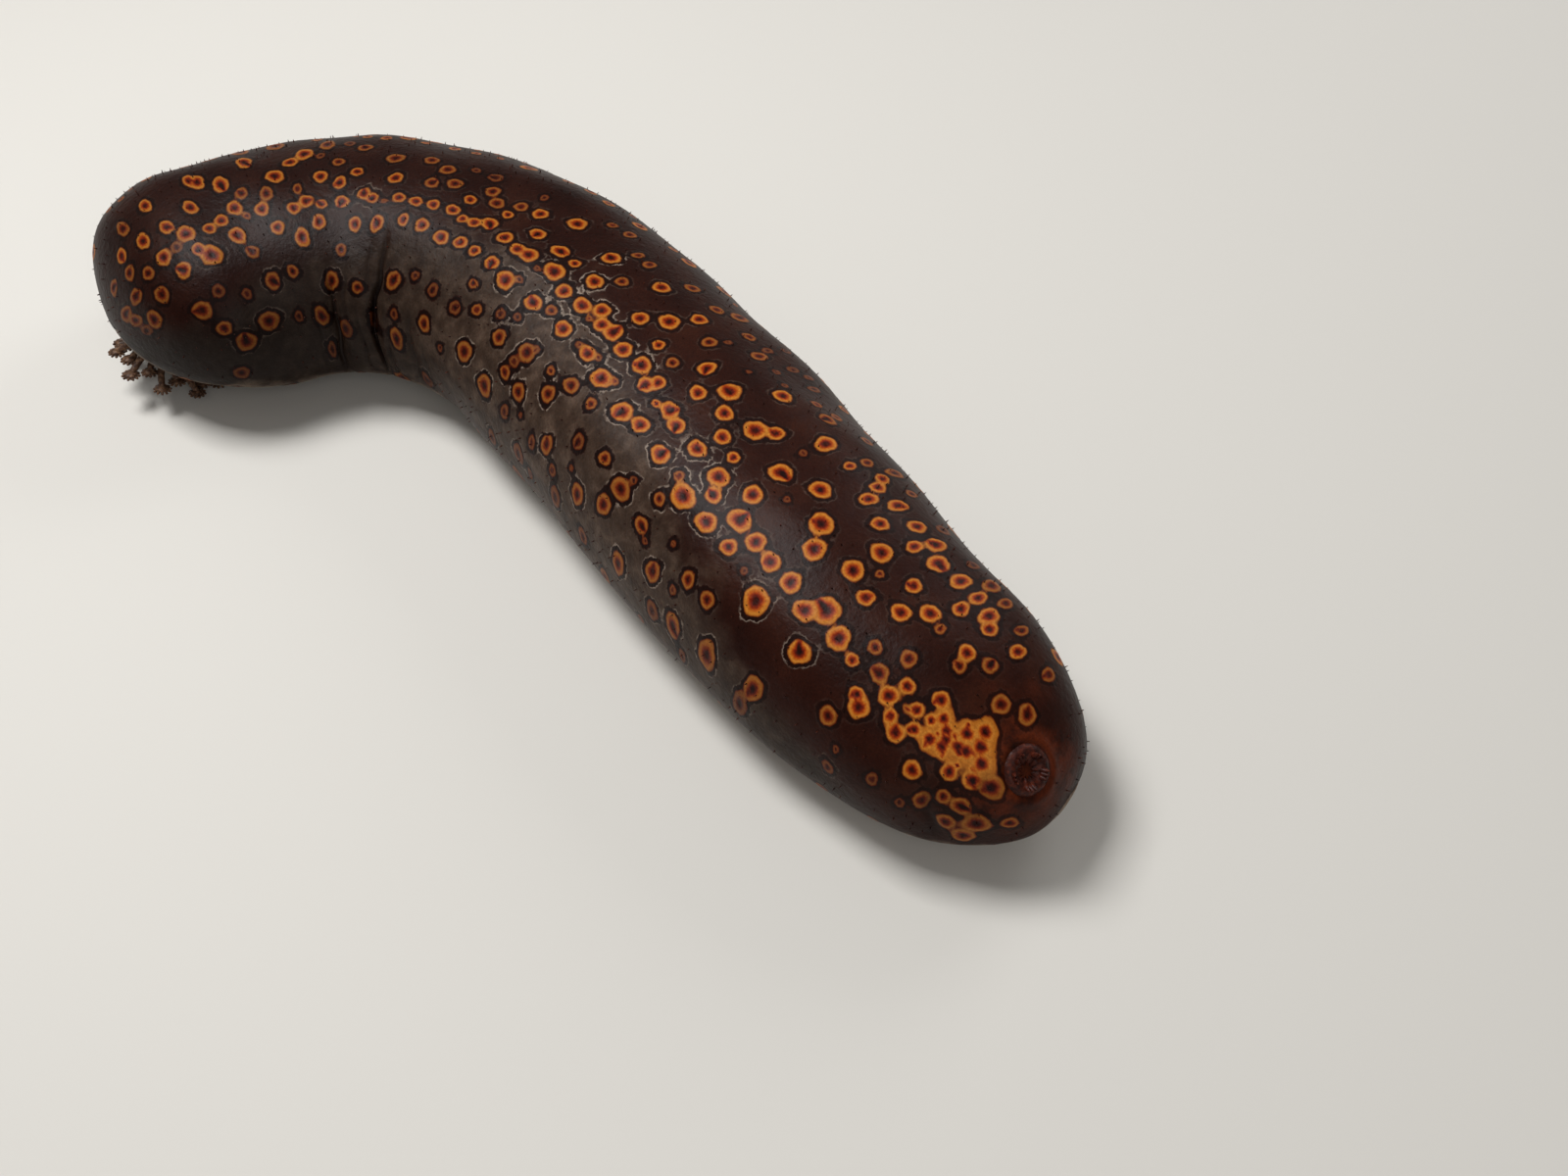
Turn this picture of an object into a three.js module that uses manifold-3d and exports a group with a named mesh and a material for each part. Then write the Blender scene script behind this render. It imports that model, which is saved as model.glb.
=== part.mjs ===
// A leopard sea cucumber resting on its sole, whole and at life size.
// Sizes are millimetres and angles are degrees, with +Z up and +X from the tail towards the head.
// The origin is on the floor under the middle of the animal's outline.
// "along" is a distance down the centre line from the tail's tip.
// "round" is an angle about the centre line: 0 on the left flank, 90 on the back, 180 on the right
// flank and 270 in the middle of the sole.

import * as THREE from "three";
import { mergeVertices } from "three/addons/utils/BufferGeometryUtils.js";
import Module from "manifold-3d";

const wasm = await Module();
wasm.setup();

// Centre line: it turns left by so many degrees in each 100 mm
const bodyLength = 400;
const tailTip = new THREE.Vector2(-188.6, 29.9);
const tailHeading = 4;
const turnAt = [0, 60, 140, 210, 270, 330, 400];
const turnPer100 = [-26, -24, 4, 6, 66, 76, 5];

// Section: a rounded loaf, widest a little below half its height
const widthAt = [0, 100, 200, 300, 400];
const halfWidth = [33, 43, 44.5, 44.5, 46];
const heightAt = [0, 300, 400];
const heightPerWidth = [0.72, 0.72, 0.68];
const widestShare = 0.44;
const backRoundness = 2.15;
const soleRoundness = 2.9;

// Ends: both domes close on a pole at a share of the height
const tailDome = 48;
const headDome = 34;
const poleShare = 0.42;
const domeWidthPower = 0.9;
const domeHeightPower = 0.85;

// Underside: the sole stands on its feet, and the chin lifts off the floor
const soleClearance = 2.6;
const chinFrom = 346;
const chinReach = 42;
const chinRise = 8;

// Skin folds across the inner side of the bend and beside the tail: centre, side, half spans, depth
const folds = [
  { along: 289, round: 15, alongSpan: 5, roundSpan: 48, depth: 2.2 },
  { along: 317, round: 12, alongSpan: 5, roundSpan: 42, depth: 2.2 },
  { along: 263, round: 0, alongSpan: 6, roundSpan: 36, depth: 1.1 },
  { along: 24, round: 8, alongSpan: 5, roundSpan: 34, depth: 1.2 },
];

// Division of the body
const gap = 0.3;
const soleEdge = 25;
const lengths = [
  { name: "rear", from: tailDome, to: 150 },
  { name: "middle", from: 150, to: 250 },
  { name: "bend", from: 250, to: 302 },
  { name: "front", from: 302, to: 352 },
];
const stationStep = 5.2;
const backSteps = 26;
const soleSteps = 13;
const endSteps = 9;
const neckSteps = 3;

// Mouth: a disc that faces forward and down, with a ring of shield-tipped tentacles
const mouthAlong = 384;
const mouthHeight = 15.5;
const mouthTilt = 32;
const mouthRadius = 13.5;
const mouthSocket = 3.4;
const discCorners = 24;
const tentacles = {
  count: 20,
  ring: 10.2,
  root: 1.6,
  length: 6.8,
  lean: 2.5,
  spread: 5.5,
  droop: 4.5,
  shortReach: 0.55,
  stalkRadius: 1.5,
  taper: 0.25,
  stalkSides: 5,
  stalkSteps: 3,
  shieldRadius: 2.9,
  shieldThickness: 1.6,
  shieldCorners: 8,
  shieldNotch: 0.14,
};

// Vent: a puckered disc near the tail's tip with five groups of papillae
const ventAlong = 9;
const ventRound = 62;
const ventRadius = 6;
const ventSocket = 3;
const ventGroups = 5;
const ventPapilla = { radius: 0.9, height: 1.9, root: 1.6, rise: 0.7, fromRim: 1.7, lean: 0.4 };
const ventPapillaSpread = [-13, 0, 13];

// Papillae of the back and feet of the sole
const papilla = { radius: 1.4, height: 1.9, root: 1.8, sides: 5 };
const papillaRows = { low: 12, high: 172, stepAlong: 18.5, stepRound: 22, shiftAlong: 7, shiftRound: 9 };
const foot = { radius: 1.4, flare: 1.15, root: 3, sides: 5, stepAlong: 11.5 };
const footBands = [-23, -17, 0, 17, 23];
const footShift = { stagger: 0.45, along: 0.25, sideways: 2 };
const edgeMargin = 4;

const toRadians = THREE.MathUtils.degToRad;

// A straight-line reading of a table
function straight(x, places, values) {
  const last = places.length - 1;
  if (x <= places[0]) return values[0];
  if (x >= places[last]) return values[last];
  const i = places.findIndex((place) => place > x) - 1;
  const share = (x - places[i]) / (places[i + 1] - places[i]);
  return values[i] + (values[i + 1] - values[i]) * share;
}

// A smooth reading of a table, through all its values
function smooth(x, places, values) {
  const last = places.length - 1;
  const at = THREE.MathUtils.clamp(x, places[0], places[last]);
  const i = Math.min(Math.max(places.findIndex((place) => place > at) - 1, 0), last - 1);
  const low = at >= places[last] ? last - 1 : i;
  const slope = (k) => {
    const before = Math.max(k - 1, 0);
    const after = Math.min(k + 1, last);
    return (values[after] - values[before]) / (places[after] - places[before]);
  };
  const span = places[low + 1] - places[low];
  const t = (at - places[low]) / span;
  const rise = t * t * (3 - 2 * t);
  const leaving = t * (1 - t) * (1 - t) * span * slope(low);
  const arriving = t * t * (t - 1) * span * slope(low + 1);
  return values[low] * (1 - rise) + values[low + 1] * rise + leaving + arriving;
}

// The centre line's places and headings, added up in small steps
const lineStep = 0.5;

function centreLine() {
  const places = [];
  const at = tailTip.clone();
  let heading = toRadians(tailHeading);
  for (let along = 0; along <= bodyLength; along += lineStep) {
    places.push({ x: at.x, y: at.y, heading });
    const turn = toRadians(straight(along + lineStep / 2, turnAt, turnPer100) * lineStep) / 100;
    at.x += Math.cos(heading + turn / 2) * lineStep;
    at.y += Math.sin(heading + turn / 2) * lineStep;
    heading += turn;
  }
  return places;
}

const linePlaces = centreLine();

function placeAt(along) {
  const k = THREE.MathUtils.clamp(along, 0, bodyLength) / lineStep;
  const low = Math.min(Math.floor(k), linePlaces.length - 2);
  const [a, b] = [linePlaces[low], linePlaces[low + 1]];
  return {
    x: THREE.MathUtils.lerp(a.x, b.x, k - low),
    y: THREE.MathUtils.lerp(a.y, b.y, k - low),
    heading: THREE.MathUtils.lerp(a.heading, b.heading, k - low),
  };
}

// How far a dome has closed: 1 on the body, 0 at the pole
function domeShare(along) {
  if (along < tailDome) return Math.sqrt(Math.max(0, 1 - (1 - along / tailDome) ** 2));
  const past = (along - bodyLength + headDome) / headDome;
  return past > 0 ? Math.sqrt(Math.max(0, 1 - past ** 2)) : 1;
}

function roundTurn(round, middle) {
  return Math.abs(((((round - middle) % 360) + 540) % 360) - 180);
}

function foldDepth(along, round) {
  let depth = 0;
  for (const fold of folds) {
    const across = (along - fold.along) / fold.alongSpan;
    const up = roundTurn(round, fold.round) / fold.roundSpan;
    if (up < 1) depth += fold.depth * Math.exp(-across * across) * (1 - up * up) ** 2;
  }
  return depth;
}

// A place in the plane across the body: distance to the left, and height
function sectionPlace(along, round) {
  const wide = smooth(along, widthAt, halfWidth);
  const high = 2 * wide * straight(along, heightAt, heightPerWidth);
  const low = soleClearance + chinRise * THREE.MathUtils.smoothstep(along, chinFrom, chinFrom + chinReach);
  const middle = Math.max(high * widestShare, low + 1);
  const c = Math.cos(toRadians(round));
  const s = Math.sin(toRadians(round));
  const roundness = s >= 0 ? backRoundness : soleRoundness;
  const share = domeShare(along);
  const inward = 1 - foldDepth(along, round) / wide;
  const side = Math.sign(c) * Math.abs(c) ** (2 / roundness) * wide * inward * share ** domeWidthPower;
  const rise = Math.sign(s) * Math.abs(s) ** (2 / roundness);
  const height = s >= 0 ? middle + (high - middle) * rise : middle + (middle - low) * rise;
  const pole = high * poleShare;
  return { side, height: pole + (height - pole) * share ** domeHeightPower };
}

function surfacePoint(along, round, lift = 0) {
  const { x, y, heading } = placeAt(along);
  const { side, height } = sectionPlace(along, round);
  return new THREE.Vector3(x - Math.sin(heading) * side, y + Math.cos(heading) * side, height + lift);
}

function surfaceNormal(along, round) {
  const reach = 0.4;
  const forward = surfacePoint(along + reach, round).sub(surfacePoint(along - reach, round));
  const across = surfacePoint(along, round - 1).sub(surfacePoint(along, round + 1));
  return forward.cross(across).normalize();
}

// A closed mesh from rings of points. A ring of one point is a pole, and any other end gets a flat cap
function loft(rings) {
  const positions = [];
  const faces = [];
  const add = (point) => positions.push(point.x, point.y, point.z) / 3 - 1;
  const indices = rings.map((ring) => ring.map(add));
  for (let i = 0; i + 1 < indices.length; i += 1) {
    const [near, far] = [indices[i], indices[i + 1]];
    const count = Math.max(near.length, far.length);
    for (let j = 0; j < count; j += 1) {
      const k = (j + 1) % count;
      if (near.length > 1) faces.push(near[j], near[k], far[j % far.length]);
      if (far.length > 1) faces.push(near[k % near.length], far[k], far[j]);
    }
  }
  const cap = (ring, corners, outward) => {
    if (corners.length === 1) return;
    const middle = ring.reduce((sum, point) => sum.add(point), new THREE.Vector3());
    const centre = add(middle.divideScalar(ring.length));
    corners.forEach((corner, j) => {
      const next = corners[(j + 1) % corners.length];
      faces.push(centre, ...(outward ? [corner, next] : [next, corner]));
    });
  };
  cap(rings[0], indices[0], false);
  cap(rings.at(-1), indices.at(-1), true);
  const geometry = new THREE.BufferGeometry();
  geometry.setAttribute("position", new THREE.Float32BufferAttribute(positions, 3));
  return geometry.setIndex(faces);
}

// Solids, for joining and cutting
function solidOf(geometry) {
  const bare = geometry.clone();
  bare.deleteAttribute("normal");
  bare.deleteAttribute("uv");
  const merged = mergeVertices(bare, 1e-3);
  const mesh = new wasm.Mesh({
    numProp: 3,
    vertProperties: new Float32Array(merged.attributes.position.array),
    triVerts: new Uint32Array(merged.index.array),
  });
  return new wasm.Manifold(mesh);
}

function geometryOf(solid) {
  const largest = solid.decompose().reduce((a, b) => (a.volume() >= b.volume() ? a : b));
  const mesh = largest.getMesh();
  const geometry = new THREE.BufferGeometry();
  geometry.setAttribute("position", new THREE.BufferAttribute(mesh.vertProperties, 3));
  geometry.setIndex(new THREE.BufferAttribute(mesh.triVerts, 1));
  return geometry;
}

function fuse(base, pieces) {
  return pieces.reduce((whole, piece) => whole.add(solidOf(piece)), base);
}

// A repeatable draw of numbers from 0 to 1
function seeded(seed) {
  let state = seed;
  return () => {
    state = (state * 1664525 + 1013904223) % 4294967296;
    return state / 4294967296;
  };
}

function range(from, to, steps) {
  return Array.from({ length: steps + 1 }, (_, i) => from + ((to - from) * i) / steps);
}

// The rings of one length of the back or the sole, which part half a gap above and below the edge
function lengthRings(from, to, rounds, lift) {
  const steps = Math.round((to - from) / stationStep);
  const stations = range(from + gap / 2, to - gap / 2, steps);
  return stations.map((along) =>
    rounds.map((round, i) => surfacePoint(along, round, i % (rounds.length - 1) ? 0 : lift)),
  );
}

const backRounds = range(-soleEdge, 180 + soleEdge, backSteps);
const soleRounds = range(180 + soleEdge, 360 - soleEdge, soleSteps);
const wholeRounds = [...backRounds.slice(0, -1), ...soleRounds.slice(0, -1)];

function wholeRing(along) {
  return wholeRounds.map((round) => surfacePoint(along, round));
}

function tailRings() {
  const closing = range(0, 90, endSteps).slice(1, -1);
  const stations = closing.map((angle) => tailDome * (1 - Math.cos(toRadians(angle))));
  const rings = [...stations, tailDome - gap / 2].map(wholeRing);
  return [[surfacePoint(0, 0)], ...rings];
}

function headRings() {
  const neck = range(lengths.at(-1).to + gap / 2, bodyLength - headDome, neckSteps);
  const closing = range(0, 90, endSteps).slice(1, -1);
  const stations = closing.map((angle) => bodyLength - headDome * (1 - Math.sin(toRadians(angle))));
  return [...[...neck, ...stations].map(wholeRing), [surfacePoint(bodyLength, 0)]];
}

// A small cone or stub set on a place, with its root below it and its axis along a direction
function stub(place, direction, height, root, tipRadius, baseRadius, sides) {
  const length = height + root;
  const geometry = new THREE.CylinderGeometry(tipRadius, baseRadius, length, sides);
  geometry.translate(0, length / 2 - root, 0);
  geometry.applyQuaternion(new THREE.Quaternion().setFromUnitVectors(THREE.Object3D.DEFAULT_UP, direction));
  return geometry.translate(place.x, place.y, place.z);
}

// Papillae in staggered, shifted rows over a stretch of the back
function papillae(from, to, seed, isClear = () => true) {
  const draw = seeded(seed);
  const { low, high, stepAlong, stepRound, shiftAlong, shiftRound } = papillaRows;
  const { radius, height, root, sides } = papilla;
  const cones = [];
  for (let row = 0; from + edgeMargin + row * stepAlong <= to - edgeMargin; row += 1) {
    const start = low + (row % 2) * (stepRound / 2);
    for (let place = start; place < high; place += stepRound) {
      const along = Math.min(from + edgeMargin + row * stepAlong + draw() * shiftAlong, to - edgeMargin);
      const round = place + (draw() - 0.5) * shiftRound;
      const size = 0.8 + 0.4 * draw();
      const point = surfacePoint(along, round);
      if (!isClear(point)) continue;
      cones.push(stub(point, surfaceNormal(along, round), height * size, root, 0, radius * size, sides));
    }
  }
  return cones;
}

// The sole's height at a distance to the left of the centre line
function soleHeight(along, side) {
  const miss = (round) => Math.abs(sectionPlace(along, round).side - side);
  const rounds = range(180 + soleEdge, 360 - soleEdge, 60);
  const nearest = rounds.reduce((best, round) => (miss(round) < miss(best) ? round : best));
  return sectionPlace(along, nearest).height;
}

// Feet in long bands, standing on the floor with flat tips
function feet(from, to, seed) {
  const draw = seeded(seed);
  const down = new THREE.Vector3(0, 0, -1);
  const [first, last] = [from + edgeMargin, to - edgeMargin];
  const stubs = [];
  footBands.forEach((band, row) => {
    for (let i = 0; first + i * foot.stepAlong <= last; i += 1) {
      const shift = (row % 2) * footShift.stagger + (draw() - 0.5) * footShift.along;
      const along = THREE.MathUtils.clamp(first + (i + shift) * foot.stepAlong, first, last);
      const side = band + (draw() - 0.5) * footShift.sideways;
      const { x, y, heading } = placeAt(along);
      const height = soleHeight(along, side);
      const top = new THREE.Vector3(x - Math.sin(heading) * side, y + Math.cos(heading) * side, height);
      stubs.push(stub(top, down, height, foot.root, foot.radius * foot.flare, foot.radius, foot.sides));
    }
  });
  return stubs;
}

// A frame that turns a disc's own axis outward from the body
function frameAt(place, axis) {
  const turn = new THREE.Quaternion().setFromUnitVectors(new THREE.Vector3(0, 0, 1), axis);
  return new THREE.Matrix4().compose(place, turn, new THREE.Vector3(1, 1, 1));
}

// The corners of a circle: cosine, sine and turn of each
function circle(corners) {
  const turns = range(0, 2 * Math.PI, corners).slice(0, -1);
  return turns.map((turn) => [Math.cos(turn), Math.sin(turn), turn]);
}

// Rings about +Z from a profile: each has a radius, a height and how strongly it puckers
function discRings(profile, corners, lobes) {
  return profile.map(([radius, height, pucker]) => {
    if (radius === 0) return [new THREE.Vector3(0, 0, height)];
    return circle(corners).map(([c, s, turn]) => {
      const reach = radius * (1 + pucker * Math.cos(turn * lobes));
      return new THREE.Vector3(c * reach, s * reach, height);
    });
  });
}

// What a disc's socket takes out of the body: all that lies over it too
function socketCutter(frame, radius, depth) {
  const overBody = 60;
  const cutter = discRings([[radius + gap, -depth, 0], [radius + gap, overBody, 0]], discCorners, 1);
  return solidOf(loft(cutter).applyMatrix4(frame));
}

// Mouth
const mouthPlace = placeAt(mouthAlong);
const mouthAxis = new THREE.Vector3(
  Math.cos(mouthPlace.heading) * Math.sin(toRadians(mouthTilt)),
  Math.sin(mouthPlace.heading) * Math.sin(toRadians(mouthTilt)),
  -Math.cos(toRadians(mouthTilt)),
);
const mouthCentre = new THREE.Vector3(mouthPlace.x, mouthPlace.y, mouthHeight);
const mouthFrame = frameAt(mouthCentre, mouthAxis);

// One stalk, which bends down to the floor, and the shield at its tip
function tentacle(index, draw) {
  const size = tentacles;
  const turn = toRadians((360 / size.count) * index);
  const radial = new THREE.Vector3(Math.cos(turn), Math.sin(turn), 0).transformDirection(mouthFrame);
  const reach = index % 2 ? 1 : size.shortReach;
  const root = mouthCentre.clone().addScaledVector(radial, size.ring);
  const knee = root.clone().addScaledVector(mouthAxis, size.length * (0.9 + 0.3 * draw()));
  knee.addScaledVector(radial, size.lean * reach);
  const tip = knee.clone().addScaledVector(radial, size.spread * reach);
  tip.z = Math.max(tip.z - size.droop * reach, size.shieldThickness * 0.75);
  knee.z = Math.max(knee.z, tip.z + 1);
  const sunk = root.clone().addScaledVector(mouthAxis, -size.root);
  const path = new THREE.CatmullRomCurve3([sunk, root.addScaledVector(mouthAxis, 1), knee, tip]);
  const { normals, binormals } = path.computeFrenetFrames(size.stalkSteps);
  const stalk = range(0, 1, size.stalkSteps).map((share, i) =>
    circle(size.stalkSides).map(([c, s]) => {
      const thick = size.stalkRadius * (1 - size.taper * share);
      const middle = path.getPoint(share);
      return middle.addScaledVector(normals[i], c * thick).addScaledVector(binormals[i], s * thick);
    }),
  );
  const half = size.shieldThickness / 2;
  const rim = size.shieldRadius * (0.9 + 0.2 * draw());
  const profile = [[0, -half, 0], [rim, 0, size.shieldNotch], [0, half, 0]];
  const shield = loft(discRings(profile, size.shieldCorners, size.shieldCorners / 2));
  const facing = mouthAxis.clone().multiplyScalar(0.4).add(new THREE.Vector3(0, 0, -0.8)).normalize();
  return [loft(stalk), shield.applyMatrix4(frameAt(tip, facing))];
}

function mouth() {
  const profile = [
    [mouthRadius, gap - mouthSocket, 0],
    [mouthRadius, 0.2, 0],
    [mouthRadius - 1, 1, 0],
    [tentacles.ring - 2.4, 0.6, 0],
    [tentacles.ring - 5, -0.2, 0.1],
    [2.4, -0.8, 0.2],
    [0, -1.8, 0],
  ];
  const disc = solidOf(loft(discRings(profile, discCorners, 6)).applyMatrix4(mouthFrame));
  const draw = seeded(20);
  const crown = range(0, tentacles.count - 1, tentacles.count - 1).flatMap((index) => tentacle(index, draw));
  return fuse(disc, crown);
}

// Vent
const ventCentre = surfacePoint(ventAlong, ventRound);
const ventAxis = surfaceNormal(ventAlong, ventRound);
const ventFrame = frameAt(ventCentre, ventAxis);

function vent() {
  const profile = [
    [ventRadius, gap - ventSocket, 0],
    [ventRadius, -0.2, 0],
    [ventRadius - 0.8, 0.9, 0.03],
    [ventRadius - 2.4, 0.8, 0.08],
    [1.8, -0.4, 0.25],
    [0, -1.5, 0],
  ];
  const disc = solidOf(loft(discRings(profile, discCorners, ventGroups)).applyMatrix4(ventFrame));
  const { radius, height, root, rise, fromRim, lean } = ventPapilla;
  const cones = range(0, 360, ventGroups).slice(0, -1).flatMap((group) =>
    ventPapillaSpread.map((spread) => {
      const turn = toRadians(group + spread);
      const radial = new THREE.Vector3(Math.cos(turn), Math.sin(turn), 0).transformDirection(ventFrame);
      const place = ventCentre.clone().addScaledVector(radial, ventRadius - fromRim);
      place.addScaledVector(ventAxis, rise);
      const direction = ventAxis.clone().addScaledVector(radial, lean).normalize();
      return stub(place, direction, height, root, 0, radius, papilla.sides);
    }),
  );
  return fuse(disc, cones);
}

// Colours, as sRGB
const skins = {
  back: { color: 0x3a1d18, roughness: 0.42, metalness: 0 },
  sole: { color: 0x9c8b7c, roughness: 0.6, metalness: 0 },
  tentacle: { color: 0x4a3327, roughness: 0.5, metalness: 0 },
  vent: { color: 0x6b2416, roughness: 0.4, metalness: 0 },
};

function nodeMesh(name, geometry, skin) {
  const mesh = new THREE.Mesh(geometry, new THREE.MeshStandardMaterial(skins[skin]));
  mesh.name = name;
  return mesh;
}

const seaCucumber = new THREE.Group();

lengths.forEach(({ name, from, to }, i) => {
  const back = solidOf(loft(lengthRings(from, to, backRounds, gap / 2)));
  const sole = solidOf(loft(lengthRings(from, to, soleRounds, -gap / 2)));
  const backFull = fuse(back, papillae(from, to, 7 + i));
  const soleFull = fuse(sole, feet(from, to, 40 + i));
  seaCucumber.add(nodeMesh("back_" + name, geometryOf(backFull), "back"));
  seaCucumber.add(nodeMesh("sole_" + name, geometryOf(soleFull), "sole"));
});

const clearOfVent = (place) => place.distanceTo(ventCentre) > ventRadius + 3;
const tailEnd = fuse(solidOf(loft(tailRings())), papillae(8, tailDome, 3, clearOfVent));
const tailCut = tailEnd.subtract(socketCutter(ventFrame, ventRadius, ventSocket));
seaCucumber.add(nodeMesh("tail_end", geometryOf(tailCut), "back"));
seaCucumber.add(nodeMesh("anus", geometryOf(vent()), "vent"));

const headEnd = fuse(solidOf(loft(headRings())), papillae(lengths.at(-1).to, bodyLength - 8, 4));
const headCut = headEnd.subtract(socketCutter(mouthFrame, mouthRadius, mouthSocket));
seaCucumber.add(nodeMesh("head_end", geometryOf(headCut), "back"));
seaCucumber.add(nodeMesh("mouth", geometryOf(mouth()), "tentacle"));

export default seaCucumber;
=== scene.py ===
# A leopard sea cucumber, resting on its sole on a plain pale floor.
# Places on the body are given as (along, round): millimetres down the centre line from the tail's
# tip, and degrees round it, with 0 on the left flank, 90 on the back, 180 on the right flank and
# 270 in the middle of the sole.

import math

import bpy
import numpy as np
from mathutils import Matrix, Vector


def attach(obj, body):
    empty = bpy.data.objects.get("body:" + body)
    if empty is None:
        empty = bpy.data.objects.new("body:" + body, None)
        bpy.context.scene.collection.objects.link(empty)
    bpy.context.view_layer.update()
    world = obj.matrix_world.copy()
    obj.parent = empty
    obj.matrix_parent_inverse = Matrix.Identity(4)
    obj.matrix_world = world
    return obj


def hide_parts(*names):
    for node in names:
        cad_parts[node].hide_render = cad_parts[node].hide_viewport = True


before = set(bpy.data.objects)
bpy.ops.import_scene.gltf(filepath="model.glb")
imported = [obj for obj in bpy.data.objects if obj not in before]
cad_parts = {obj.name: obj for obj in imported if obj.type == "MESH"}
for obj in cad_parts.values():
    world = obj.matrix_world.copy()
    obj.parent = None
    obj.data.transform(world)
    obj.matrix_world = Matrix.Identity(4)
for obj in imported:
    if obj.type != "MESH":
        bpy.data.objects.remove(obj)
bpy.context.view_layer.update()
metre = 0.001  # one millimetre, in metres
print("frame loaded:", len(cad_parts), "nodes")


def linearColour(code, alpha=1.0):
    # sRGB hex to linear light
    parts = [int(code[i:i + 2], 16) / 255 for i in (1, 3, 5)]
    return tuple(p / 12.92 if p <= 0.04045 else ((p + 0.055) / 1.055) ** 2.4 for p in parts) + (alpha,)


def addNode(tree, kind, settings=None, inputs=None):
    # one node, with its settings, its ramp's stops, and its inputs linked or set
    node = tree.nodes.new(kind)
    for name, value in (settings or {}).items():
        if name == "stops":
            stops = node.color_ramp.elements
            stops.remove(stops[-1])
            stops[0].position, stops[0].color = value[0][0], linearColour(value[0][1])
            for place, code in value[1:]:
                stops.new(place).color = linearColour(code)
        else:
            setattr(node, name, value)
    for name, value in (inputs or {}).items():
        if isinstance(value, bpy.types.NodeSocket):
            tree.links.new(value, node.inputs[name])
        else:
            node.inputs[name].default_value = value
    return node


def addRows(tree, made, rows):
    # rows of name, kind, settings, inputs and output; an input given as text is an earlier row
    for name, kind, settings, inputs, output in rows:
        given = {key: made[value] if isinstance(value, str) else value for key, value in inputs.items()}
        made[name] = addNode(tree, kind, settings, given).outputs[output]


maths, ranged, layer, ramp = "ShaderNodeMath", "ShaderNodeMapRange", "ShaderNodeMix", "ShaderNodeValToRGB"
plus, minus, times = {"operation": "ADD"}, {"operation": "SUBTRACT"}, {"operation": "MULTIPLY"}
timesPlus = {"operation": "MULTIPLY_ADD"}
eased = {"interpolation_type": "SMOOTHSTEP"}
over = {"data_type": "RGBA", "blend_type": "MIX"}
tinting = {"data_type": "RGBA", "blend_type": "MULTIPLY"}


def smoothStep(low, high, x):
    t = np.clip((x - low) / (high - low), 0.0, 1.0)
    return t * t * (3 - 2 * t)


def meshObject(name, points, faces, material=None):
    # points in millimetres, faces as tuples of corners
    mesh = bpy.data.meshes.new(name)
    mesh.from_pydata([tuple(p) for p in np.asarray(points) * metre], [], faces)
    mesh.validate()
    mesh.shade_smooth()
    made = bpy.data.objects.new(name, mesh)
    bpy.context.scene.collection.objects.link(made)
    if material:
        mesh.materials.append(material)
    return made


def storeValues(mesh, name, values):
    stored = mesh.attributes.new(name, "FLOAT", "POINT")
    stored.data.foreach_set("value", np.asarray(values, np.float32))


# The camera looks down on the left side from behind the tail, with no roll.
camera = {
    "place": (-276.5, 271.5, 389.5),
    "pitch": 49.3,
    "heading": -53.0,
    "lens": 38.61, "sensor": 36,
}
cameraData = bpy.data.cameras.new("camera")
cameraData.lens = camera["lens"]
cameraData.sensor_width = camera["sensor"]
cameraData.clip_start = 0.01
cameraObject = bpy.data.objects.new("camera", cameraData)
cameraObject.location = Vector(camera["place"]) * metre
cameraObject.rotation_euler = (math.radians(90 - camera["pitch"]), 0, math.radians(camera["heading"] - 90))
bpy.context.scene.collection.objects.link(cameraObject)
bpy.context.scene.camera = cameraObject
print("camera set")


# The body is the same loaf-shaped surface as the solids.
body = {
    "length": 400.0, "lineStep": 0.5,
    "tailTip": (-188.6, 29.9), "tailHeading": 4.0,
    "turnAt": (0, 60, 140, 210, 270, 330, 400),
    "turnPer100": (-26, -24, 4, 6, 66, 76, 5),  # degrees to the left in each 100 mm
    "widthAt": (0, 100, 200, 300, 400), "halfWidth": (33, 43, 44.5, 44.5, 46),
    "heightAt": (0, 300, 400), "heightPerWidth": (0.72, 0.72, 0.68),
    "widestShare": 0.44, "backRoundness": 2.15, "soleRoundness": 2.9,
    "tailDome": 48.0, "headDome": 34.0, "poleShare": 0.42,
    "domeWidthPower": 0.9, "domeHeightPower": 0.85,
    "soleClearance": 2.6, "chinFrom": 346.0, "chinReach": 42.0, "chinRise": 8.0,
}
folds = (  # along, round, half span along, half span round, depth
    (289, 15, 5, 48, 2.2), (317, 12, 5, 42, 2.2), (263, 0, 6, 36, 1.1), (24, 8, 5, 34, 1.2),
)


def centreLine():
    step = body["lineStep"]
    along = np.arange(0, body["length"] + step / 2, step)
    turn = np.radians(np.interp(along + step / 2, body["turnAt"], body["turnPer100"]) * step / 100)
    heading = math.radians(body["tailHeading"]) + np.concatenate([[0], np.cumsum(turn[:-1])])
    middle = (heading + turn / 2)[:-1]
    x = body["tailTip"][0] + np.concatenate([[0], np.cumsum(np.cos(middle) * step)])
    y = body["tailTip"][1] + np.concatenate([[0], np.cumsum(np.sin(middle) * step)])
    return along, x, y, heading


lineAlong, lineX, lineY, lineHeading = centreLine()


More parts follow.
